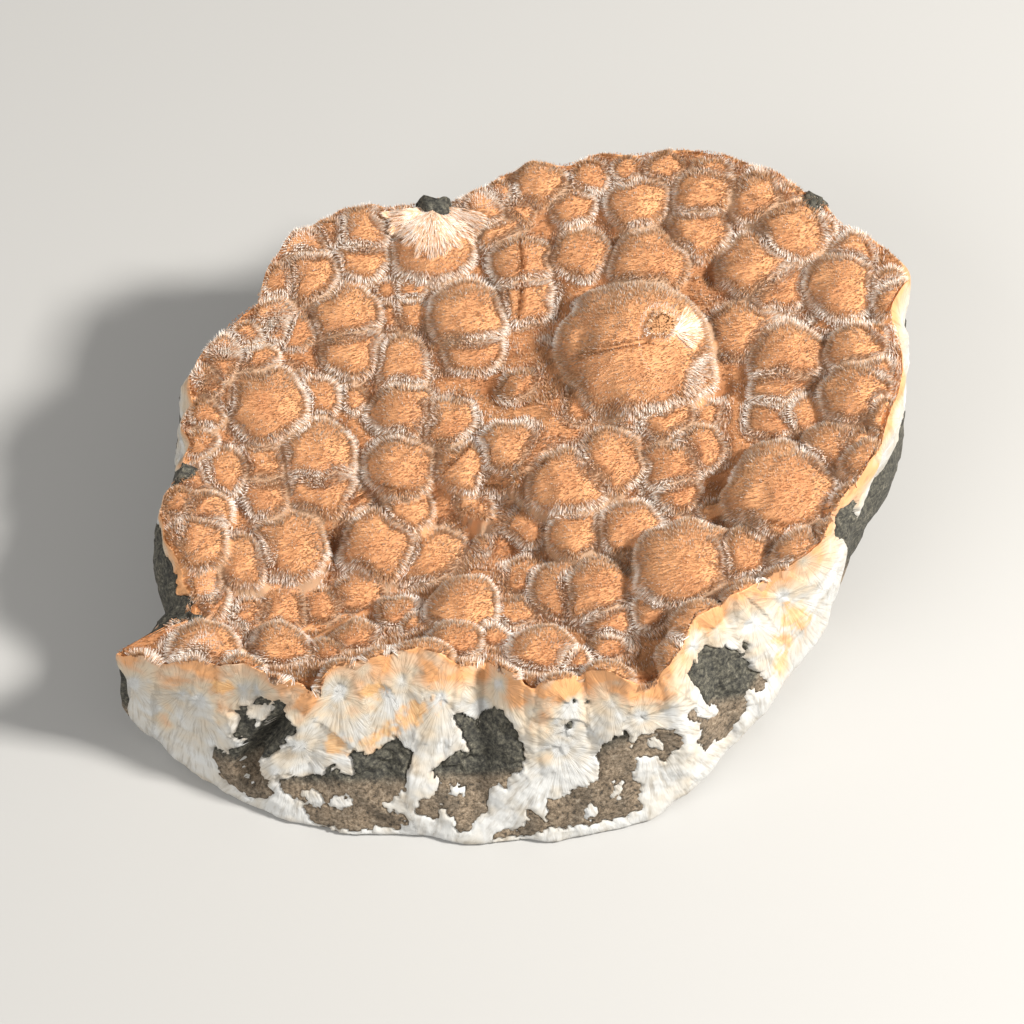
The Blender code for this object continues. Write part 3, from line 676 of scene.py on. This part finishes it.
def needle_sheaf(name, seed):
    """Pyramids of three sides, one at each scattered place. A needle points away from its ball's
    core, partly along the surface's normal; its root is its length back from its tip, and creases
    have longer, whiter needles that gather in tufts."""
    draw = np.random.default_rng(seed)
    x, y, z, normal, owner, crease, gap = scattered(draw)
    place = np.stack([x, y, z], -1)
    up = seen_up(y, z)
    small = np.hypot(x - SMALL_BALL[0], up - SMALL_BALL[1]) / SMALL_BALL[2]

    # The core that a needle grows from lies behind its ball's middle, and deep under the small ball.
    core = np.stack([ball_x, ball_y + 0.5 * ball_r, ball_z - 0.1 * ball_r], -1)[owner]
    small_core = np.array((SMALL_BALL[0], small_y + 0.6, float(lining(*small_place)[0][0]) - 7.0))
    core = np.where((small < 1.1)[:, None], small_core, core)
    away = np.where((owner >= 0)[:, None], unit(place - core), unit(normal + 0.5 * outward))
    loose = (0.03 + 0.06 * crease + 0.14 * (small < 1.05))[:, None]
    upright = (0.15 * (1 - crease))[:, None]
    radial = (0.4 + 0.4 * crease)[:, None]
    away = radial * away + (1 - radial) * normal + upright * outward
    away = unit(away + loose * draw.normal(0, 1, place.shape))

    # The white fans lie flat, spread from their points, and fade to their ends.
    crease = whitened(x, y, up, small, crease)
    for apex_x, apex_up, reach, turn_from, turn_to in SPLITS:
        split_x, split_up = x - apex_x, up - apex_up
        turned = np.degrees(np.arctan2(split_up, split_x))
        far = np.hypot(split_x, split_up) / reach + 0.12 * rock_noise(x, y, 0 * x, 1.2, 20)
        inside = (far < 1) & (turned > turn_from) & (turned < turn_to) & (small > 1.1)
        crease = np.where(inside, draw.uniform(0.45, 1.0, len(x)) * (1 - 0.6 * far**2), crease)
        flat = unit(np.stack([split_x, split_up * math.sin(FACING), split_up * math.cos(FACING)], -1))
        away = np.where(inside[:, None], unit(flat + 0.35 * away), away)

    # Tips stand a little under the model's surface on the caps and a little over it in the creases.
    length = NEEDLE * (LONG_ON_CAP + LONGER_IN_CREASE * crease) * draw.uniform(0.8, 1.15, len(x))
    # Painted glints: a share of the needles stand a little proud and are made fully white.
    painted_glint = draw.uniform(0, 1, len(x)) < PAINTED_GLINT_SHARE
    proud = draw.uniform(-0.24, 0.02, len(x)) + 0.35 * crease + 0.12 * painted_glint + 0.3 * (small < 1.05)
    tip = place + away * proud[:, None]
    root = tip - away * length[:, None]
    tip = tip + (0.12 + 0.5 * crease)[:, None] * tuft_pull(x, y, normal)
    aside = unit(np.cross(away, draw.normal(0, 1, place.shape)))
    third = np.cross(away, aside)
    width = NEEDLE_WIDTH * (draw.uniform(0.7, 1.3, len(x)) * (1 + 0.25 * crease))[:, None]
    corners = [root + width * (math.cos(a) * aside + math.sin(a) * third) for a in THIRDS]
    points = np.stack([*corners, tip], 1).reshape(-1, 3)
    first = 4 * np.arange(len(x))[:, None, None]
    faces = (first + np.array([(0, 1, 3), (1, 2, 3), (2, 0, 3), (2, 1, 0)])).reshape(-1, 3)
    sheaf = made_piece(name, points, faces, fibres, "thomsonite_crust", smooth=False)

    # The tone is mottled where orange turns to white, so that no hard outline shows.
    mottle = draw.normal(0, 1, len(x)) * (0.08 + crease * (1 - crease))
    tone = held(1.15 * crease + mottle)
    # Painted shade: the tone falls towards the hollow colours in the hollows, on the low ground and along
    # the cracks.
    tone = tone - painted_shade(x, y, z, gap) * (1 - crease)
    # Painted glints: these needles take the white crease colours.
    tone = np.where(painted_glint, 1.0, tone)
    along = np.array([0, 0, 0, 1.0]) + draw.normal(0, 0.2, len(x))[:, None]
    corner_uv = np.stack([np.repeat(tone, 4), along.ravel()], -1)
    layer = sheaf.data.uv_layers.new(name="needle")
    layer.uv.foreach_set("vector", corner_uv[faces.ravel()].astype(np.float32).ravel())

    # The roundness for the shading is mostly the ball's own.
    rounded = unit(place - np.stack([ball_x, ball_y, ball_z], -1)[owner])
    rounded = unit(BALL_IN_SOFT * rounded + (1 - BALL_IN_SOFT) * normal)
    rounded = np.where((owner >= 0)[:, None], rounded, normal)
    steeper = unit(rounded * (SOFT_SLOPE, SOFT_SLOPE, 1))
    soft = (SOFT_CAP + (SOFT_CREASE - SOFT_CAP) * crease)[:, None] * steeper
    point_values(sheaf, "soft", np.repeat(soft, 4, 0), "FLOAT_VECTOR", "vector")


for number in range(NEEDLE_SHEAVES):
    needle_sheaf(f"needles_{number + 1}", 40 + number)

# The white roots of the crust, laid bare by the break all round the bowl. Needles spread in fans from
# points on the basalt, white at the point and peach under the velvet. Its base was sawn.
FOOT = [
    (64, 9, 26), (64.5, 20, 28), (65.5, 25, 28), (59, 32, 24), (48, 42, 20), (30, 49, 18), (10, 48, 17),
    (-10, 42, 16), (-30, 39, 16), (-44, 22, 16), (-52, 10, 16), (-55, -5, 15), (-57.5, -19, 17),
    (-55, -30, 18), (-63, -41.5, 20), (-61.5, -42.5, 14), (-59.5, -44, 9), (-55.5, -47, 5),
    (-50, -51, 2.5), (-43.5, -54.5, 1.5), (-35.5, -58, 1), (-27.5, -60.5, 1), (-18, -61.5, 1),
    (-8, -62, 1), (1.5, -62, 1), (11, -61, 1), (20.5, -58, 1.5), (28.5, -54.5, 3), (35.5, -46, 8),
    (41.5, -40, 12), (46, -33.5, 15), (50, -28, 18), (54, -20.5, 23), (55.5, -15, 25), (58, -10.5, 26),
    (61, -5, 26), (63, 2, 26),
]
TUCK_PER_HEIGHT = 0.62
TUCK_LEAST = 1.5
TUCK_FROM = 0.84
BELLY = 0.6
LIP_FROM_RIM = 0.955
LIP_SINK = 1.6

# The top of the basalt behind and at the sides, by direction in degrees, and height.
BASALT_EDGE = [
    (0, 24), (8, 21), (20, 25), (30, 23), (40, 27), (44, 35), (48, 35), (52, 27), (64, 24), (78, 27),
    (90, 25), (99, 28), (102, 38), (107, 38.5), (110, 28), (122, 25), (138, 27), (152, 24), (166, 26),
    (176, 24), (178, 30.5), (181, 30.5), (184, 24), (189, 27), (197, 25), (203, 26), (204.5, 25), (206, 10),
    (207, -9), (350, -9), (350.5, 32), (354.5, 32), (356, 22),
]

# The basalt patches of the broken front, as outlines across and up the photograph's view.
PATCHES = [
    [(-44.5, -32), (-43, -30.5), (-40, -30), (-36.5, -30.5), (-36, -32.5), (-34, -33.5), (-34, -34.5),
     (-36, -36.5), (-38, -38.5), (-40, -39), (-40.5, -41), (-39, -42.5), (-38, -44.5), (-39.5, -46),
     (-42, -45.5), (-45, -44), (-46.5, -42), (-48, -39.5), (-48, -38), (-46, -37), (-44, -35.5),
     (-44, -33.5)],
    [(-37.5, -42), (-34, -42.5), (-30.5, -42), (-29.5, -41), (-28, -40.5), (-26.5, -42), (-25, -42),
     (-25.5, -39), (-24.5, -38), (-22, -38.5), (-21, -37), (-19, -36), (-17, -37.5), (-16, -38.5),
     (-16.5, -40.5), (-17, -44.5), (-18.5, -45.5), (-20.5, -46.5), (-20, -48), (-17.5, -48),
     (-16.5, -50), (-18.5, -51), (-22, -50.5), (-22.5, -51.5), (-26.5, -51), (-30.5, -50.5),
     (-32.5, -49), (-33.5, -46), (-35, -46), (-36.5, -44.5), (-37.5, -44)],
    [(-9, -33), (-8, -32), (-6.5, -33.5), (-5.5, -34.5), (-5, -32), (-2, -31.5), (-0.5, -33.5),
     (1, -35.5), (2, -38.5), (1.5, -40.5), (-0.5, -43), (-1, -44), (-2, -43.5), (-3.5, -44.5),
     (-4, -46), (-3.5, -48), (-6, -49), (-6.5, -51), (-9, -50.5), (-9, -48.5), (-11.5, -49),
     (-13, -48.5), (-15, -48), (-14.5, -45.5), (-12.5, -45), (-11.5, -43), (-13, -41.5), (-10.5, -39),
     (-9, -38), (-6.5, -38), (-8, -35.5), (-8.5, -34.5)],
    [(-3, -52), (-2, -51), (2, -50.5), (2.5, -47.5), (3.5, -48), (5.5, -49.5), (5.5, -47),
     (5.5, -45.5), (7.5, -45.5), (9.5, -44), (12.5, -43.5), (14, -42), (13.5, -38.5), (14, -37.5),
     (15.5, -36), (18, -34.5), (19, -37), (20.5, -35.5), (23, -34.5), (25.5, -34.5), (27.5, -35.5),
     (27.5, -37.5), (25.5, -38), (24.5, -40), (23, -39), (20, -39), (19.5, -41.5), (20.5, -43.5),
     (20.5, -45.5), (21, -47.5), (18, -48.5), (15.5, -49.5), (12.5, -50), (7.5, -50.5), (3, -51.5)],
    [(27.5, -25.5), (29.5, -23.5), (30.5, -21.5), (33.5, -21.5), (36, -22), (37.5, -23.5), (39, -25.5),
     (41, -27), (40, -28.5), (38, -28.5), (37.5, -30.5), (37.5, -32), (36, -34), (34.5, -36),
     (32.5, -37), (31, -38), (29.5, -36.5), (30.5, -35.5), (30, -33.5), (28.5, -33.5), (27, -32.5),
     (29, -31), (30, -33), (32, -33), (33, -31.5), (31, -30.5), (29.5, -28.5), (28.5, -27)],
    [(52, 0), (55, 0.5), (55, -2), (54, -4.5), (52, -4.5), (51.5, -2)],
]

# White tufts inside the patches, and specks of basalt outside them: across, up and half sizes.
TUFTS = [
    (-40.2, -32, 1.4, 1.6), (-45.3, -37, 1.9, 1.4), (-39.4, -40.8, 0.8, 1.4),
    (-31.8, -45.8, 1.4, 1.4), (-27, -46.4, 1.9, 1), (-9, -44.5, 1.1, 1),
    (-11, -48, 0.6, 1.3), (22.9, -36.5, 1.4, 1.1), (16.8, -44, 1, 1.6), (12.8, -48, 0.8, 1.3),
]
SPECKS = [(36.8, -20.6, 0.6, 1.1), (9, -33.8, 0.8, 0.5), (12, -30.1, 0.5, 0.3), (10.1, -30.2, 0.3, 0.3)]

# Where the fans of the front start, and its yellow to orange crystals: across, up, half sizes, turn.
FAN_POINTS = [
    (-60.3, -27.2), (-52.8, -29), (-42.7, -28.5), (-40.6, -28.8), (-27.2, -28.8), (-23.5, -24.3),
    (-19.8, -28.5), (-11.2, -29.6), (-17.6, -26.9), (-1.9, -27.2), (9.3, -30.2), (8.6, -34.6),
    (15.7, -30.1), (28.5, -21.3), (32.5, -18.6), (38.4, -17.6), (42.9, -13.6), (20.5, -32.5),
    (7.7, -37.3), (-5.1, -30.9), (-33.9, -37.3), (-49.9, -30.1), (46.1, -7.7),
]
AMBER = [
    (-16.3, -32.2, 5.8, 1.9, 28), (-22.4, -28, 2.4, 1.6, 0), (-28.3, -36.8, 2.4, 2, 0),
    (-20.5, -35, 3.2, 1.2, 30), (45, -16.6, 2.9, 2.5, -20), (43, -20.4, 2.5, 1.5, -30),
    (43.2, -24.4, 1.7, 3, -15), (-45.8, -27.5, 1.9, 1.2, -20),
]
PEACH_SPOTS = [
    (-13.1, -26.4, 4, 3.4), (-45.6, -29.3, 3, 4), (-52.5, -27.5, 3.2, 2.2), (-24, -30.5, 5, 3),
    (20.3, -28.2, 7, 3.2), (8, -28, 4.2, 2.8), (5, -33.2, 2.2, 2.6), (5.6, -39.3, 2.4, 2.2),
    (-31.5, -30, 3.4, 2.6), (-55.5, -33.5, 1.6, 4), (31.5, -17.5, 3.5, 2.6), (41, -11.5, 3.6, 3),
    (46.5, -26, 2.6, 1.8), (-22, -38, 4, 2), (0.5, -28.5, 3, 2.6),
]
SAWN_BELOW = [
    (-65.9, -28.5), (-49.9, -36.8), (-37.1, -42.2), (-17.9, -42.2), (1.3, -40.3), (14.1, -37.3),
    (28.5, -30.4), (37.3, -28.8), (50.9, -7.7),
]
CAVE = [(-36.3, -33.6), (-40, -36.2), (-42.7, -39.7), (-41.6, -42.6)]
CAVE_HALF, CAVE_DEPTH = 1.7, 6.0

SIDE_COLUMNS = 760
SIDE_ROWS = 122
FRONT_FROM, FRONT_TO = math.radians(196), math.radians(360)


def side_angles(columns):
    """Directions all round, twice as close together over the front as elsewhere."""
    front = FRONT_TO - FRONT_FROM
    share = np.arange(columns) / columns * (2 * np.pi + front)
    return np.where(share < 2 * front, FRONT_FROM + share / 2, FRONT_TO + share - 2 * front) % (2 * np.pi)


def side_wall(columns, rows, lip=6):
    """The broken sides as a grid: rows run over the rim's lip, down the break and under to the
    ground. Going down, the distance moves evenly from the rim's to the foot's with a slight belly;
    then the foot is tucked in by a quarter of an ellipse."""
    angle = side_angles(columns)
    rim_radius = edge_radius(angle)
    plain_radius, _ = around(RIM, angle)
    foot_radius, foot_height = around(FOOT, angle)
    top = lining(*on_plan(rim_radius, angle))[0] - NEEDLE
    fold = np.linspace(0, 1, lip, endpoint=False)[:, None]
    lip_radius = rim_radius * (LIP_FROM_RIM + (1 - LIP_FROM_RIM) * np.sin(0.5 * np.pi * fold))
    lip_height = lining(*on_plan(lip_radius, angle))[0] - NEEDLE - LIP_SINK * (1 - fold)
    share = np.linspace(0, 1, rows - lip)[:, None]
    down = held(share / TUCK_FROM)
    tuck = held((share - TUCK_FROM) / (1 - TUCK_FROM))
    height = top + down * (foot_height - top)
    height = height * (1 - np.sqrt(1 - (1 - tuck) ** 2))
    radius = plain_radius + down * (foot_radius - plain_radius) + BELLY * np.sin(np.pi * down)
    radius = radius - (TUCK_LEAST + TUCK_PER_HEIGHT * foot_height) * tuck**2
    radius = radius + rim_rough(*on_plan(radius, angle), height)
    radius = np.vstack([lip_radius, radius])
    height = np.vstack([lip_height, height])
    depth = np.vstack([0 * lip_height, top - height[lip:]])
    return angle + 0 * radius, radius, np.maximum(height, 0.0), depth


def outline_depth(across, up, outline):
    """How far inside a closed outline each place lies, in mm; outside it the number is negative."""
    inside = np.zeros(across.shape, bool)
    for (ax, ay), (bx, by) in zip(outline, outline[1:] + outline[:1]):
        if ay != by:
            crosses = (up < ay) != (up < by)
            inside ^= crosses & (across < ax + (up - ay) * (bx - ax) / (by - ay))
    nearest = line_distance(across, up, outline + outline[:1])
    return np.where(inside, nearest, -nearest)


wall_angle, wall_radius, wall_z, wall_depth = side_wall(SIDE_COLUMNS, SIDE_ROWS)
wall_x, wall_y = on_plan(wall_radius, wall_angle)
wall_up = seen_up(wall_y, wall_z)
on_front = wall_angle > FRONT_FROM


def wall_noise(size, seed):
    """Smooth random bumps over the broken sides."""
    return rock_noise(wall_x, wall_y, wall_z, size, seed)


# Where the crust is broken off the rock: inside the patches on the front, and below an edge on the
# other sides, with a ragged outline.
ragged = 0.45 * wall_noise(1.5, 21) + 0.40 * wall_noise(0.7, 22) + 0.30 * wall_noise(0.4, 36)
edge_height = np.interp(np.degrees(wall_angle), *np.array(BASALT_EDGE, float).T, period=360)
behind = edge_height + 1.6 * wall_noise(3.0, 23) - wall_z
front = np.max([outline_depth(wall_x, wall_up, outline) for outline in PATCHES], 0)
front = np.maximum(front, blobs(wall_x, wall_up, SPECKS) * 0.5)
front = np.minimum(front, -blobs(wall_x, wall_up, TUFTS) * 0.8)
rock_shows = np.where(on_front & (wall_z > 0.02), np.maximum(front, behind), behind) + ragged
bare = held(rock_shows / 0.35 + 0.5)

# The nearest fan point is found across the front's view, and round the other sides on the wall
# unrolled at one distance from the middle, where the points are strewn by a seed. Every second to
# fourth fan is held back a little, so that the borders between fans aren't all alike.
UNROLLED = 55.0
STREWN, STREWN_BETWEEN = 90, (-16, -3)
FAN_HOLD = 0.5
draw = np.random.default_rng(8)
strewn_across = draw.uniform(0, FRONT_FROM, STREWN) * UNROLLED
strewn = np.stack([strewn_across, draw.uniform(*STREWN_BETWEEN, STREWN)], -1)
flat_across = np.where(on_front, wall_x, wall_angle * UNROLLED)
flat_up = np.where(on_front, wall_up, -wall_depth)
fan_reach = np.full(wall_x.shape, 1e9)
fan_turn = np.zeros(wall_x.shape)
fan_name = np.zeros(wall_x.shape)
for number, (start_x, start_y) in enumerate([*FAN_POINTS, *strewn]):
    dx, dy = flat_across - start_x, flat_up - start_y
    on_side = on_front == (number < len(FAN_POINTS))
    reach = np.where(on_side, np.hypot(dx, dy) + FAN_HOLD * (number % 4), 1e9)
    closer = reach < fan_reach
    fan_reach = np.where(closer, reach, fan_reach)
    fan_turn = np.where(closer, np.arctan2(dy, dx), fan_turn)
    fan_name = np.where(closer, number, fan_name)
fan_reach = fan_reach - FAN_HOLD * (fan_name % 4)

# The crust's relief: fine fibres along each fan, a shallow cup round its point, and crumbs.
fibre_relief = 0.11 * rock_noise(fan_turn * 9, fan_name * 7.3, fan_reach * 0.12, 1.0, 24)
cup = 0.5 * held(1 - fan_reach / 4.5)
cup = cup - 0.35 * rock_noise(fan_name * 3.7, fan_turn * 1.2, 0 * fan_turn, 1.0, 25)
sawn_up = np.interp(wall_x, *np.array(SAWN_BELOW).T)
sawn = np.where(on_front, held((sawn_up - wall_up) / 1.5), 0)
calm = held(wall_depth / 2.0) * (1 - 0.8 * sawn) * held(wall_z / 1.5)
cave = np.where(on_front, held(1 - line_distance(wall_x, wall_up, CAVE) / CAVE_HALF), 0)
crumbs = 0.13 * wall_noise(0.9, 26) + 0.07 * wall_noise(0.45, 27)
crust_radius = wall_radius + calm * (fibre_relief - cup) + crumbs * held(wall_z)
crust_radius = crust_radius - (1.5 - 1.0 * sawn) * bare - CAVE_DEPTH * cave


def ring_points(angle, radius, height):
    """Rings of points round the middle, one row for each ring."""
    return np.stack([*on_plan(radius, angle), height], -1).reshape(-1, 3)


def ring_faces(steps, rows, columns):
    """Quads from each ring to the next, for as many steps; the last step of a closed band leads
    back to the first ring."""
    row, column = np.mgrid[:steps, :columns]
    below = (row + 1) % rows
    beside = (column + 1) % columns
    return np.stack([
        row * columns + column, below * columns + column, below * columns + beside,
        row * columns + beside,
    ], -1).reshape(-1, 4)


# The hidden inner side of the band rises inside the rock from the underside to the lip.
rise = np.array([0.15, 0.5, 0.85])[:, None]
back_radius = crust_radius[-1] + rise * (crust_radius[0] - crust_radius[-1]) - 3.5
back_height = 1.0 + rise * (wall_z[0] - 6.0)
band_points = ring_points(
    np.vstack([wall_angle, wall_angle[:3]]),
    np.vstack([crust_radius, back_radius]),
    np.vstack([wall_z, back_height]),
)
band_rows = SIDE_ROWS + len(rise)
band_faces = ring_faces(band_rows, band_rows, SIDE_COLUMNS)

# The roots' colours, from a fan's cold white point to the orange under the velvet.
ROOT_POINT = (0.60, 0.605, 0.59)
ROOT_WHITE = (0.55, 0.52, 0.46)
ROOT_CREAM = (0.61, 0.51, 0.38)
ROOT_PEACH = (0.64, 0.42, 0.26)
ROOT_ORANGE = (0.70, 0.35, 0.15)
STRAND_SHADE = (0.62, 0.58, 0.53)
AMBER_DARK, AMBER_LIGHT = (0.60, 0.28, 0.09), (0.80, 0.52, 0.24)

roots, tree, shader = new_finish("white roots", 0.42)
place = node_of(tree, "TexCoord").outputs["Object"]
peach_here = stored(tree, "peach")
amber_here = stored(tree, "amber")
fan_here = stored(tree, "fan", "Vector")
cloud = node_of(tree, "TexNoise", Vector=place, Scale=210.0, Detail=4.0)
strand = node_of(tree, "TexNoise", Vector=fan_here, Scale=1.0, Detail=3.0, Roughness=0.6)
wobble = node_of(
    tree, "MapRange", Value=cloud.outputs["Fac"], From_Min=0.3, From_Max=0.7, To_Min=-0.16, To_Max=0.16,
)
shifted = node_of(tree, "Math", operation="ADD")
tree.links.new(peach_here, shifted.inputs[0])
tree.links.new(wobble.outputs["Result"], shifted.inputs[1])
fan_color = ramp_of(tree, shifted.outputs["Value"], [
    (0.0, ROOT_POINT), (0.16, ROOT_WHITE), (0.42, ROOT_CREAM), (0.74, ROOT_PEACH), (0.97, ROOT_ORANGE),
])
strand_tone = ramp_of(tree, strand.outputs["Fac"], [(0.32, STRAND_SHADE), (0.5, (1, 1, 1))])
stranded = mixed(tree, 0.75, fan_color, strand_tone, "MULTIPLY")
amber_color = ramp_of(tree, strand.outputs["Fac"], [(0.3, AMBER_DARK), (0.7, AMBER_LIGHT)])
tree.links.new(mixed(tree, amber_here, stranded, amber_color), shader.inputs["Base Color"])
ridges = node_of(tree, "Bump", Height=strand.outputs["Fac"], Strength=0.5, Distance=0.0004)
tree.links.new(ridges.outputs["Normal"], shader.inputs["Normal"])

wall = made_piece("white_roots", band_points, band_faces.tolist(), roots, "thomsonite_crust")

# The roots are more peach near the rim and far from their fan's point, and in the spots listed, and
# less where the base was sawn. The amber crystals are splintered along their fans.
near_rim = held(1 - wall_depth / np.where(on_front, 7.5, 4.0))
peach = 0.55 * near_rim**1.2 + 0.5 * held(fan_reach / 7) * near_rim**0.5
peach = peach + 0.42 * wall_noise(3.0, 28) * near_rim**0.5 + 0.08
peach = peach - 0.45 * held(1 - fan_reach / 1.6)
in_peach = blobs(wall_x, wall_up, PEACH_SPOTS) + 0.5 * ragged
peach = peach + 0.6 * np.clip(in_peach, 0, 0.8) * on_front * (1 - 0.5 * sawn)
peach = peach + 0.16 * wall_noise(1.4, 29) + 0.08
peach = peach * (1 - 0.55 * sawn)
point_values(wall, "peach", peach)
splinters = rock_noise(fan_turn * 7, fan_reach * 0.6, fan_name * 5.3, 1.0, 35)
amber = blobs(wall_x, wall_up, AMBER) + 0.8 * ragged + 0.35 * splinters
amber = np.clip(1.5 * amber, 0, 0.85) * on_front
point_values(wall, "amber", amber)
fan_place = np.stack([fan_turn * 16, fan_reach * 0.35, fan_name * 3.1], -1)
point_values(wall, "fan", fan_place, "FLOAT_VECTOR", "vector")

# The host rock: dark fine-grained basalt under and behind the crust, rough where it broke and flat
# where it was sawn. The crust grew on it, so it stands in the crust's gaps.
BROKEN_GRAIN = [
    (0.36, (0.012, 0.012, 0.011)), (0.48, (0.055, 0.054, 0.045)), (0.60, (0.13, 0.125, 0.10)),
    (0.74, (0.32, 0.31, 0.27)),
]
SAWN_GRAIN = [
    (0.36, (0.035, 0.03, 0.024)), (0.46, (0.15, 0.115, 0.08)), (0.58, (0.27, 0.215, 0.16)),
    (0.74, (0.45, 0.40, 0.33)),
]
BLOTCHES = [(0.35, (0.55, 0.55, 0.52)), (0.62, (1.15, 1.1, 1.0))]

rock, tree, shader = new_finish("basalt", 0.8)
place = node_of(tree, "TexCoord").outputs["Object"]
sawn_here = stored(tree, "sawn")
grain = node_of(tree, "TexNoise", Vector=place, Scale=1500.0, Detail=5.0, Roughness=0.75)
blotch = node_of(tree, "TexNoise", Vector=place, Scale=260.0, Detail=4.0, Roughness=0.65)
broken_color = ramp_of(tree, grain.outputs["Fac"], BROKEN_GRAIN)
sawn_color = ramp_of(tree, grain.outputs["Fac"], SAWN_GRAIN)
stone_color = mixed(tree, sawn_here, broken_color, sawn_color)
blotch_tone = ramp_of(tree, blotch.outputs["Fac"], BLOTCHES)
tree.links.new(mixed(tree, 0.8, stone_color, blotch_tone, "MULTIPLY"), shader.inputs["Base Color"])
pits = node_of(tree, "Bump", Height=grain.outputs["Fac"], Strength=0.7, Distance=0.0003)
tree.links.new(pits.outputs["Normal"], shader.inputs["Normal"])

# Knobs of the rock that stand over the lip: direction and half width in degrees, and rise.
PEAKS = [(104.5, 3.6, 3.4), (45.0, 2.4, 2.4), (179.5, 2.0, 2.0), (205.0, 1.4, 2.0)]
PEAK_FADE = 6.0
CRUST_OVER = 1.2
LIP_BACK, LIP_DOWN = 1.5, 4.5
ROCK_CAVE = 4.5
BROKEN_MOST = 0.25
ROCK_MIDDLE = 11.0
turn_here = np.degrees(wall_angle)
peak_rise = np.max([
    rise * held(2.2 - 2.2 * np.abs(turn_here - at) / half) for at, half, rise in PEAKS
], 0)
peak_rise = peak_rise * held(1 - wall_depth / PEAK_FADE)

# Where the rock is bare it lies just behind the sides, with broken grain up to its highest bumps cut
# off; elsewhere it stays behind the crust, and further back and down under the lip and the velvet.
broken = 0.9 * wall_noise(2.9, 30) + 0.5 * wall_noise(1.2, 31) + 0.28 * wall_noise(0.55, 32)
broken = np.minimum(broken, BROKEN_MOST) * bare * (1 - 0.88 * sawn) * held(wall_z)
under_lip = held(1 - wall_depth / 1.5) * (1 - bare)
rock_radius = wall_radius - 0.3 + 0.2 * sawn - CRUST_OVER * (1 - bare) + broken
rock_radius = rock_radius - LIP_BACK * under_lip - ROCK_CAVE * cave**0.7
rock_z = np.maximum(wall_z - LIP_DOWN * under_lip, 0) + peak_rise
below_velvet = np.maximum(lining(*on_plan(rock_radius, wall_angle))[0] - BED_LEAST - 1.0, 0)
hidden = on_front & (bare < 0.5) & (rock_radius < edge_radius(wall_angle) - 0.3)
rock_z = np.where(hidden, np.minimum(rock_z, below_velvet), rock_z)
close_radius = np.vstack([0.5 * wall_radius[0], wall_radius[0] - 3.5])
close_height = np.vstack([0 * wall_radius[0] + 12.0, wall_z[0] - 9.0])
cap_points = ring_points(
    np.vstack([wall_angle[:2], wall_angle]),
    np.vstack([close_radius, rock_radius]),
    np.vstack([close_height, rock_z]),
)
rock_rows = SIDE_ROWS + len(close_radius)
rock_faces = ring_faces(rock_rows - 1, rock_rows, SIDE_COLUMNS)
low_centre, high_centre = len(cap_points), len(cap_points) + 1
k = np.arange(SIDE_COLUMNS)
beside = (k + 1) % SIDE_COLUMNS
last = (rock_rows - 1) * SIDE_COLUMNS
base_fan = np.stack([last + beside, last + k, np.full(SIDE_COLUMNS, low_centre)], -1)
top_fan = np.stack([k, beside, np.full(SIDE_COLUMNS, high_centre)], -1)
stone = made_piece(
    "basalt", np.vstack([cap_points, [(MIDDLE_X, MIDDLE_Y, 0.0), (MIDDLE_X, MIDDLE_Y, ROCK_MIDDLE)]]),
    [*rock_faces.tolist(), *base_fan.tolist(), *top_fan.tolist()], rock, "basalt_matrix",
)
point_values(stone, "sawn", np.vstack([0 * close_radius, sawn]))
